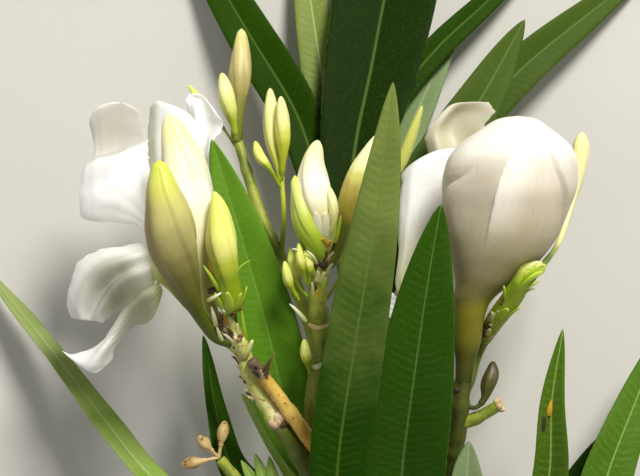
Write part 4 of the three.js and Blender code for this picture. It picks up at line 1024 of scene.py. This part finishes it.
def stem_look(name, green, light, brown, share_brown=0.62, foot=None, tip=None):
    """Young bark: green, streaked lighter, with brown corky flecks, and another colour at foot or tip."""
    paint = Paint(name, 0.5, Subsurface_Weight=0.05, Subsurface_Scale=0.002)
    _, share, _ = paint.marks("form")
    broad = paint.noise(7, 3)
    streak = paint.noise(1, 3, (1, 0.2, 1))
    fleck = paint.noise(0.9, 4)
    tint = paint.mix(paint.step(broad, 0.35, 0.65), green, light)
    tint = paint.mix(paint.times(paint.step(streak, 0.45, 0.7), 0.5), tint, light)
    tint = paint.mix(paint.step(fleck, share_brown, share_brown + 0.08), tint, brown)
    place = paint.plus(share, paint.times(broad, 0.1))
    if foot:
        tint = paint.mix(paint.step(place, 0.68, 0.62), tint, foot)
    if tip:
        tint = paint.mix(paint.step(place, 0.86, 0.95), tint, tip)
    paint.bump(paint.plus(streak, fleck), 0.12, 0.7)
    return paint.finish(tint)


def floor_look():
    paint = Paint("pale_floor", 0.85)
    return paint.finish(paint.mix(paint.noise(60, 4), 0xC9C8C3, 0xD2D1CC))


LEAF_LOOKS = {look: leaf_look("leaf_" + look, *colours) for look, colours in LEAF_COLOURS.items()}
BUD_LOOKS = {look: soft_look("bud_" + look, stops) for look, stops in BUD_STOPS.items()}
PETAL_LOOKS = {
    look: soft_look("petals_" + look, stops, PETAL_ROUGHNESS, PETAL_GLOW.get(look, 0.3))
    for look, stops in PETAL_STOPS.items()
}
TUBE_LOOK = soft_look("flower_tube", TUBE_STOPS)
BRACT_LOOKS = {
    look: soft_look("bract_" + look, stops, BRACT_ROUGHNESS.get(look, 0.45))
    for look, stops in BRACT_STOPS.items()
}
STEM_LOOKS = {
    "bark": stem_look("stem", 0x687A12, 0x9CA438, 0x7A6430),
    # The straw stem's foot colour, darker below its knuckle, is partly the stem's own olive and partly
    # painted shade.
    "straw": stem_look("stem_straw", 0xB8BC58, 0xE6E2A0, 0x9A7E4C, foot=0x56641A),
    "stub": stem_look("stem_stub", 0xB8BC58, 0xDEDC98, 0x9A7E4C, 0.58, tip=0x8A6E46),
    "dark": stem_look("stem_dark", 0x343E06, 0x4E5814, 0x5A4C20),
    "dead": stem_look("dead_stalk", 0xC89C34, 0xDFBC5C, 0xA8742E, 0.58, tip=0x6A5A44),
    "husk": stem_look("withered_husks", 0xA98A4E, 0xCBB27A, 0x6B4A28, 0.58),
}


# Stems

def ribbed(angles, shares, reach):
    """Fine ribs along a stem, and finer ones between them."""
    return angles, reach * (1 + 0.015 * np.cos(6 * angles + 9 * shares) + 0.01 * np.cos(17 * angles))


def limb(name, spec):
    """A tapering stem with rings of scars, fine ribs and rounded flat ends."""
    curve = Curve(spec["points"])
    rim, start = LIMB_RIM / curve.length, 2 * LIMB_RIM / curve.length
    inner = np.linspace(start, 1 - start, max(8, int(curve.length / LIMB_STEP)))
    shares = np.concatenate([[0, 0, rim], inner, [1 - rim, 1, 1]])
    foot, tip = spec["radius"]
    radii = foot + (tip - foot) * shares
    for ring in spec["rings"]:
        distance = (shares - ring) * curve.length
        rise = RING_RISE * hump(distance, RING_WIDTH)
        radii = radii * (1 + rise - RING_DIP * hump(distance - DIP_PLACE, DIP_WIDTH))
    radii[[0, -1]] = 0
    radii[[1, -2]] *= 0.86
    form = rod(spec["points"], shares, radii, LIMB_SIDES, ribbed)
    middle = curve.at(shares)[:, None]
    uneven = 1 + BARK_LUMP * lumps(form.grid, BARK_LUMP_SIZE, len(name))[..., None]
    form.grid = middle + (form.grid - middle) * uneven
    return form


# Leaves

def lance(shares, stalk):
    """The share of its greatest width that a leaf has along its length: lance-shaped, on a short stalk."""
    width = np.maximum((4 * shares * (1 - shares)) ** 0.75, stalk * (1 - shares))
    return np.where((shares <= 0) | (shares >= 1), 0, width)


def blade(spec, rings, count, thickness, seed=0):
    """A leaf with a channelled midrib, a keel below it, raised side veins and softly waving rims."""
    shares = np.linspace(0, 1, rings)
    half = spec["width"] / 2 * lance(shares, LEAF_STALK_WIDTH / spec["width"])
    finer = (1 - shares)[:, None] ** 0.6
    past_foot = smooth_step(0, 0.06, shares)[:, None]

    def height(reach, sides, upper, length):
        distance, side = np.abs(reach), np.abs(sides)
        lift = spec.get("fold", LEAF_FOLD) * (np.sqrt(distance ** 2 + FOLD_EASE ** 2) - FOLD_EASE)
        lift = lift - np.where(upper > 0, GROOVE_DEPTH, 0) * hump(reach, GROOVE_WIDTH) * finer
        lift = lift - np.where(upper < 0, KEEL_DEPTH, 0) * hump(reach, KEEL_WIDTH) * finer
        veins = np.sin(2 * np.pi * (length - VEIN_SLANT * distance) / VEIN_SPACING)
        veins = veins * smooth_step(0.98, 0.6, side) * past_foot * smooth_step(0.3, 1.2, distance)
        ripple = np.sin(length / 4.6 + seed) + 0.6 * np.sin(length / 2.9 + 2.1 * seed)
        ripple = ripple * side ** 2 * np.sign(sides) * past_foot
        lift = lift + spec.get("relief", VEIN_HEIGHT) * veins + spec.get("wave", LEAF_WAVE) * ripple
        return lift - RIM_DROP * side ** 7

    return sheet(spec, shares, half, count, thickness, height)


def leaf(spec, seed):
    rings = int(Curve(spec["points"]).length / LEAF_STEP)
    return blade(spec, rings, LEAF_SIDES, LEAF_THICKNESS, seed)


# Buds, sepals and blooms

def bract(spec, thickness):
    """A small pointed blade, broadest near its foot."""
    shares = np.linspace(0, 1, BRACT_RINGS)
    half = spec["width"] / 2 * rounded(shares, 1.6) * smooth_step(-0.2, 0.12, shares)

    def height(reach, sides, upper, length):
        return -BRACT_CURL * half[:, None] * sides ** 2

    return sheet(spec, shares, half, BRACT_SIDES, thickness, height)


def lapped(angles, shares, reach):
    """Petals rolled round each other: each rises to its free rim and drops steeply to the next one."""
    through = (PETALS * angles / (2 * np.pi)) % 1
    rise = smooth_step(0, 0.86, through) * smooth_step(1, 0.9, through) - 0.5
    opened = smooth_step(0.2, 0.5, shares) * smooth_step(1, 0.93, shares)
    return angles + BUD_TWIST * shares, reach * (1 + BUD_LAP * opened * rise)


def bud(spec):
    stalk = spec.get("stalk", 0)
    body = spec.get("profile") or [(stalk + (1 - stalk) * share, radius) for share, radius in BUD_PROFILE]
    first, foot = body[0]
    shares = np.linspace(0, 1, BUD_RINGS)
    radii = smooth_values([(0, foot), (first / 2, foot), *body, (1, 0.04)], shares) * spec["radius"]
    return rod(spec["points"], *capped(shares, radii), BUD_SIDES, lapped)


def folded(edges):
    """Gives the shape of petals that lap at the edges listed."""
    columns = [list(zip(*edge)) for edge in edges]

    def shape(angles, shares, reach):
        at = shares[:, 0]
        lines = np.array([np.interp(at, along, degrees) for along, degrees, _ in columns]) * np.pi / 180
        drops = np.array([np.interp(at, along, depths) for along, _, depths in columns])
        before = np.vstack([lines[-1:] - 2 * np.pi, lines])
        after = np.vstack([lines, lines[:1] + 2 * np.pi])
        angles = np.repeat(angles, len(at), axis=0)
        lift = np.zeros_like(angles)
        for i, (low, high) in enumerate(zip(before, after)):
            here = (angles >= low[:, None]) & (angles < high[:, None])
            through = (angles - low[:, None]) / (high - low)[:, None]
            rise = drops[i - 1][:, None] * (1 - smooth_step(0.02, 0.75, through))
            fall = drops[i % len(edges)][:, None] * smooth_step(0.975, 1, through)
            lift = np.where(here, 1 - rise - fall, lift)
        opened = (smooth_step(0.45, 0.6, at) * smooth_step(1, 0.85, at))[:, None]
        return angles, reach * (1 + CLOSED_LAP * opened * (lift - 0.6))

    return shape


def closed_bloom(spec):
    """The closed bloom. Its first mark is 0 at the front fold, above 0 right of it and below 0 left of it."""
    shares = np.linspace(0, 1, CLOSED_RINGS)
    radii = np.concatenate([[0], smooth_values(spec["radii"], shares)])
    shares = np.concatenate([[0], shares])
    form = rod(spec["points"], shares, radii, CLOSED_SIDES, folded(spec["edges"]), axis=(0, 1, 0))
    # The first mark places the painted shade and painted highlight beside the front fold.
    along, degrees, _ = zip(*spec["edges"][1])
    front = np.radians(np.interp(shares, along, degrees))
    angles = np.arctan2(form.form[..., 2], form.form[..., 0])
    form.form[..., 0] = np.sin(front[:, None] - angles)
    return form


def tube(points):
    shares = np.linspace(0, 1, TUBE_RINGS)
    return rod(points, *capped(shares, smooth_values(TUBE_PROFILE, shares) * THROAT_RADIUS), TUBE_SIDES)


def paddle(shares):
    """A petal is narrow where it leaves the throat and broad and blunt at its end."""
    return np.maximum(0.22, shares ** 0.7) * np.sqrt(1 - 0.75 * shares ** 6)


def fan(points, width):
    """A petal's net from its centre line and greatest width, its rims a little raised."""
    shares = np.linspace(0, 1, 7)
    centre, _, across, facing = frames(Curve(points), shares)
    reach = width / 2 * paddle(shares)[:, None] * np.array([-1, 0, 1])
    rise = 0.15 * np.abs(reach)
    return centre[:, None] + across[:, None] * reach[..., None] + facing[:, None] * rise[..., None]


def threaded(rows, places):
    """Values on the smooth line that passes through rows at 0, 1, 2 and so on."""
    rows = np.concatenate([2 * rows[:1] - rows[1:2], rows, 2 * rows[-1:] - rows[-2:-1]])
    first = np.clip(np.floor(places).astype(int), 0, len(rows) - 4)
    t = (places - first).reshape((-1,) + (1,) * (rows.ndim - 1))
    a, b, c, d = (rows[first + k] for k in range(4))
    square = a - 2.5 * b + 2 * c - d / 2
    cubic = 1.5 * (b - c) + (d - a) / 2
    return b + (c - a) * t / 2 + square * t ** 2 + cubic * t ** 3


def petal(spec, seed):
    """A thin petal over its net, with ruffled rims and soft creases along it."""
    net = np.array(spec.get("net") or fan(spec["points"], spec["width"]), float)
    rows, columns = len(net) - 1, net.shape[1] - 1
    shares = np.linspace(0, 1, PETAL_RINGS)
    sides, upper = around(PETAL_SIDES)
    rim_wave = 0.02 * np.sin(shares * 31 + seed) + 0.012 * np.sin(shares * 67 + 2 * seed)

    def surface(shift_along, shift_across):
        places = []
        for line, wave in zip(threaded(net, (shares + shift_along) * rows), rim_wave):
            spread = sides * (1 + wave * np.abs(sides) ** 4) + shift_across
            places.append(threaded(line, (spread + 1) / 2 * columns))
        return np.array(places)

    step = 0.01
    here = surface(0, 0)
    facing = unit(np.cross(surface(0, step) - surface(0, -step), surface(step, 0) - surface(-step, 0)))
    edge = np.abs(sides) ** 4 * smooth_step(0.15, 0.6, shares)[:, None]
    lift = RUFFLE * lumps(here, RUFFLE_SIZE, seed) * edge + DENT * lumps(here, DENT_SIZE, seed + 3)
    lift = lift + CREASE * np.sin(sides * 14 + seed) * smooth_step(1, 0.6, shares)[:, None]
    body = rounded(sides, 8) * rounded(shares, 24)[:, None] * np.sqrt(np.clip(shares / 0.02, 0, 1))[:, None]
    lift = lift + upper * body * PETAL_THICKNESS / 2
    length = np.linalg.norm(np.diff(here.mean(axis=1), axis=0), axis=1).sum()
    width = np.linalg.norm(here[:, 0] - here[:, len(sides) // 2], axis=1)
    return Form(here + facing * lift[..., None], width[:, None] * sides / 2, length, sides, shares, upper)


# Small parts

def knob(place, radius, seed):
    """A small uneven knob."""
    turn = seed * 2.4
    lean = np.array([math.cos(turn), math.sin(turn), 0.2]) * radius
    shares = np.linspace(0, 1, KNOB_RINGS)
    radii = radius * np.sqrt(1 - (2 * shares - 1) ** 2)
    form = rod([place - lean, place, place + lean], shares, radii, KNOB_SIDES)
    form.grid = place + (form.grid - place) * (1 + 0.3 * lumps(form.grid, radius, seed)[..., None])
    return form


def prong(points, radius):
    """A short tapering prong with a rounded end."""
    shares = np.array([0, 0, 0.1, 0.3, 0.5, 0.7, 0.85, 0.95, 1, 1])
    radii = radius[0] + (radius[1] - radius[0]) * shares
    radii[[0, -1]] = 0
    radii[-2] *= 0.6
    form = rod(points, shares, radii, PRONG_SIDES)
    form.grid = form.grid + 0.15 * lumps(form.grid, 1, 5)[..., None]
    return form


def carrier_of(name):
    return LIMBS.get(name) or BUDS[name]


def over(name, share, degrees, rise):
    """The place at a share of the length of a limb or bud, degrees round it and a rise over its surface, and
    the direction outwards there."""
    carrier = carrier_of(name)
    curve = Curve(carrier["points"])
    inside = min(share, 1)
    centre, along, across, facing = (rows[0] for rows in frames(curve, np.array([inside])))
    turn = math.radians(degrees)
    out = across * math.cos(turn) + facing * math.sin(turn)
    if name in LIMBS:
        reach = np.interp(inside, (0, 1), carrier["radius"])
    else:
        reach = np.interp(inside, *zip(*carrier["profile"])) * carrier["radius"]
    return centre + along * (share - inside) * curve.length + out * (reach + rise), out


def hugging_bract(name, share, degrees, width, length, lift):
    """A pointed bract that follows the surface under it and leans away towards its tip."""
    sunk = 0.2
    step = length / Curve(carrier_of(name)["points"]).length
    rows = [over(name, share + step * t, degrees, lift * t ** 2 - sunk * (1 - t)) for t in (0, 0.35, 0.7, 1)]
    spec = {"points": [place for place, _ in rows], "width": width, "faces": (rows[0][1], rows[-1][1])}
    return bract(spec, HUGGING_BRACT_THICKNESS)


def sunk_knob(name, share, degrees, radius, seed):
    place, _ = over(name, share, degrees, -0.3 * radius)
    return knob(place, radius, seed)


def add_bracts():
    groups = {look: [] for look in BRACT_LOOKS}
    for look, width, points in BRACTS:
        groups[look].append(bract({"points": points, "width": width}, BRACT_THICKNESS))
    for name, rows in HUGGING_BRACTS:
        for share, degrees, look, *sizes in rows:
            groups[look].append(hugging_bract(name, share, degrees, *sizes))
    knobs = [(name, *row) for name, rows in HUGGING_KNOBS for row in rows]
    for seed, (name, share, degrees, look, radius) in enumerate(knobs):
        groups[look].append(sunk_knob(name, share, degrees, radius, seed))
    for look, radius, points in PRONGS:
        groups[look].append(prong(points, radius))
    for look, forms in groups.items():
        piece(f"bracts_{look}", forms, BRACT_LOOKS[look], "bud" if look in ("green", "lime") else "withered")


def add_crowded_buds():
    for look in ("green", "lobe", "cream"):
        crowd = [bud({"stalk": 0.05, **spec}) for spec in CROWDED_BUDS if spec["look"] == look]
        piece(f"buds_crowded_{look}", crowd, BUD_LOOKS[look], "bud")


# The branch

def add_limbs():
    for name, spec in LIMBS.items():
        look = spec.get("look", "bark")
        slot = "withered" if look == "dead" else "stem"
        piece(name + "_bark", [limb(name, spec)], STEM_LOOKS[look], slot, name)


def add_leaves():
    for seed, (name, spec) in enumerate(LEAVES.items()):
        piece(name + "_blade", [leaf(spec, seed)], LEAF_LOOKS[spec["look"]], "leaf", name)


def add_buds():
    for name, spec in BUDS.items():
        slot = "withered" if spec["look"] == "spent" else "bud"
        piece(name + "_petals", [bud(spec)], BUD_LOOKS[spec["look"]], slot, name)


def add_blooms():
    for name, spec in OPEN_FLOWERS.items():
        by_look = {}
        for seed, one in enumerate(spec["petals"]):
            by_look.setdefault(one.get("look", "plain"), []).append(petal(one, seed))
        for look, petals in by_look.items():
            piece(f"{name}_{look}_petals", petals, PETAL_LOOKS[look], "petal", name)
        piece(name + "_tube", [tube(spec["tube"])], TUBE_LOOK, "petal")
    closed = [closed_bloom(CLOSED_BLOOM)]
    piece("bloom_right_closed_petals", closed, PETAL_LOOKS["closed"], "petal", "bloom_right_closed")


def tuft_specs(tuft):
    """The sizes of a tuft's members, each on a low arch from its foot to one of its tips."""
    arch = np.array([0, 0, 0.6])
    foot = np.array(tuft["foot"], float)
    return [{**tuft, "points": [foot, (foot + tip) / 2 + arch, tip]} for tip in tuft["tips"]]


def add_tufts():
    sizes = YOUNG_LEAF_RINGS, YOUNG_LEAF_SIDES, SMALL_LEAF_THICKNESS
    blades = [blade(spec, *sizes) for spec in tuft_specs(YOUNG_LEAVES)]
    piece("young_leaf_tuft_blades", blades, LEAF_LOOKS["young"], "leaf", "young_leaf_tuft")
    husks = [bud(spec) for spec in tuft_specs(SPENT_CALYXES)]
    piece("spent_calyx_cluster_husks", husks, STEM_LOOKS["husk"], "withered", "spent_calyx_cluster")


# Stage

def add_floor():
    half = FLOOR_SIDE / 2
    corners = [(-half, -half, 0), (half, -half, 0), (half, half, 0), (-half, half, 0)]
    mesh = bpy.data.meshes.new("floor")
    mesh.from_pydata(corners, [], [(0, 1, 2, 3)])
    mesh.materials.append(floor_look())
    add_object("floor", mesh)


def add_lamp(name, place, size, power, tint):
    data = bpy.data.lights.new(name, "AREA")
    data.shape = "DISK"
    data.size = size
    data.energy = power
    data.color = tint
    lamp = add_object(name, data)
    lamp.location = place
    lamp.rotation_euler = (-Vector(place)).to_track_quat("-Z", "Y").to_euler()


def add_world():
    world = bpy.data.worlds.new("studio")
    world.use_nodes = True
    tint, strength = world.node_tree.nodes["Background"].inputs[:2]
    tint.default_value = WORLD_TINT
    strength.default_value = WORLD_STRENGTH
    bpy.context.scene.world = world


def add_camera():
    data = bpy.data.cameras.new("camera")
    data.sensor_width = SENSOR_WIDTH
    data.lens = SENSOR_WIDTH * CAMERA_HEIGHT / VIEW_WIDTH
    data.clip_start = 0.01
    camera = add_object("camera", data)
    camera.location = (-MIDDLE[0] * MM, -MIDDLE[1] * MM, CAMERA_HEIGHT * MM)
    bpy.context.scene.camera = camera


add_limbs()
add_leaves()
add_buds()
add_blooms()
add_tufts()
add_bracts()
add_crowded_buds()
add_floor()
for name, row in LAMPS.items():
    add_lamp(name, *row)
add_world()
add_camera()
bpy.context.scene.view_settings.view_transform = "Standard"
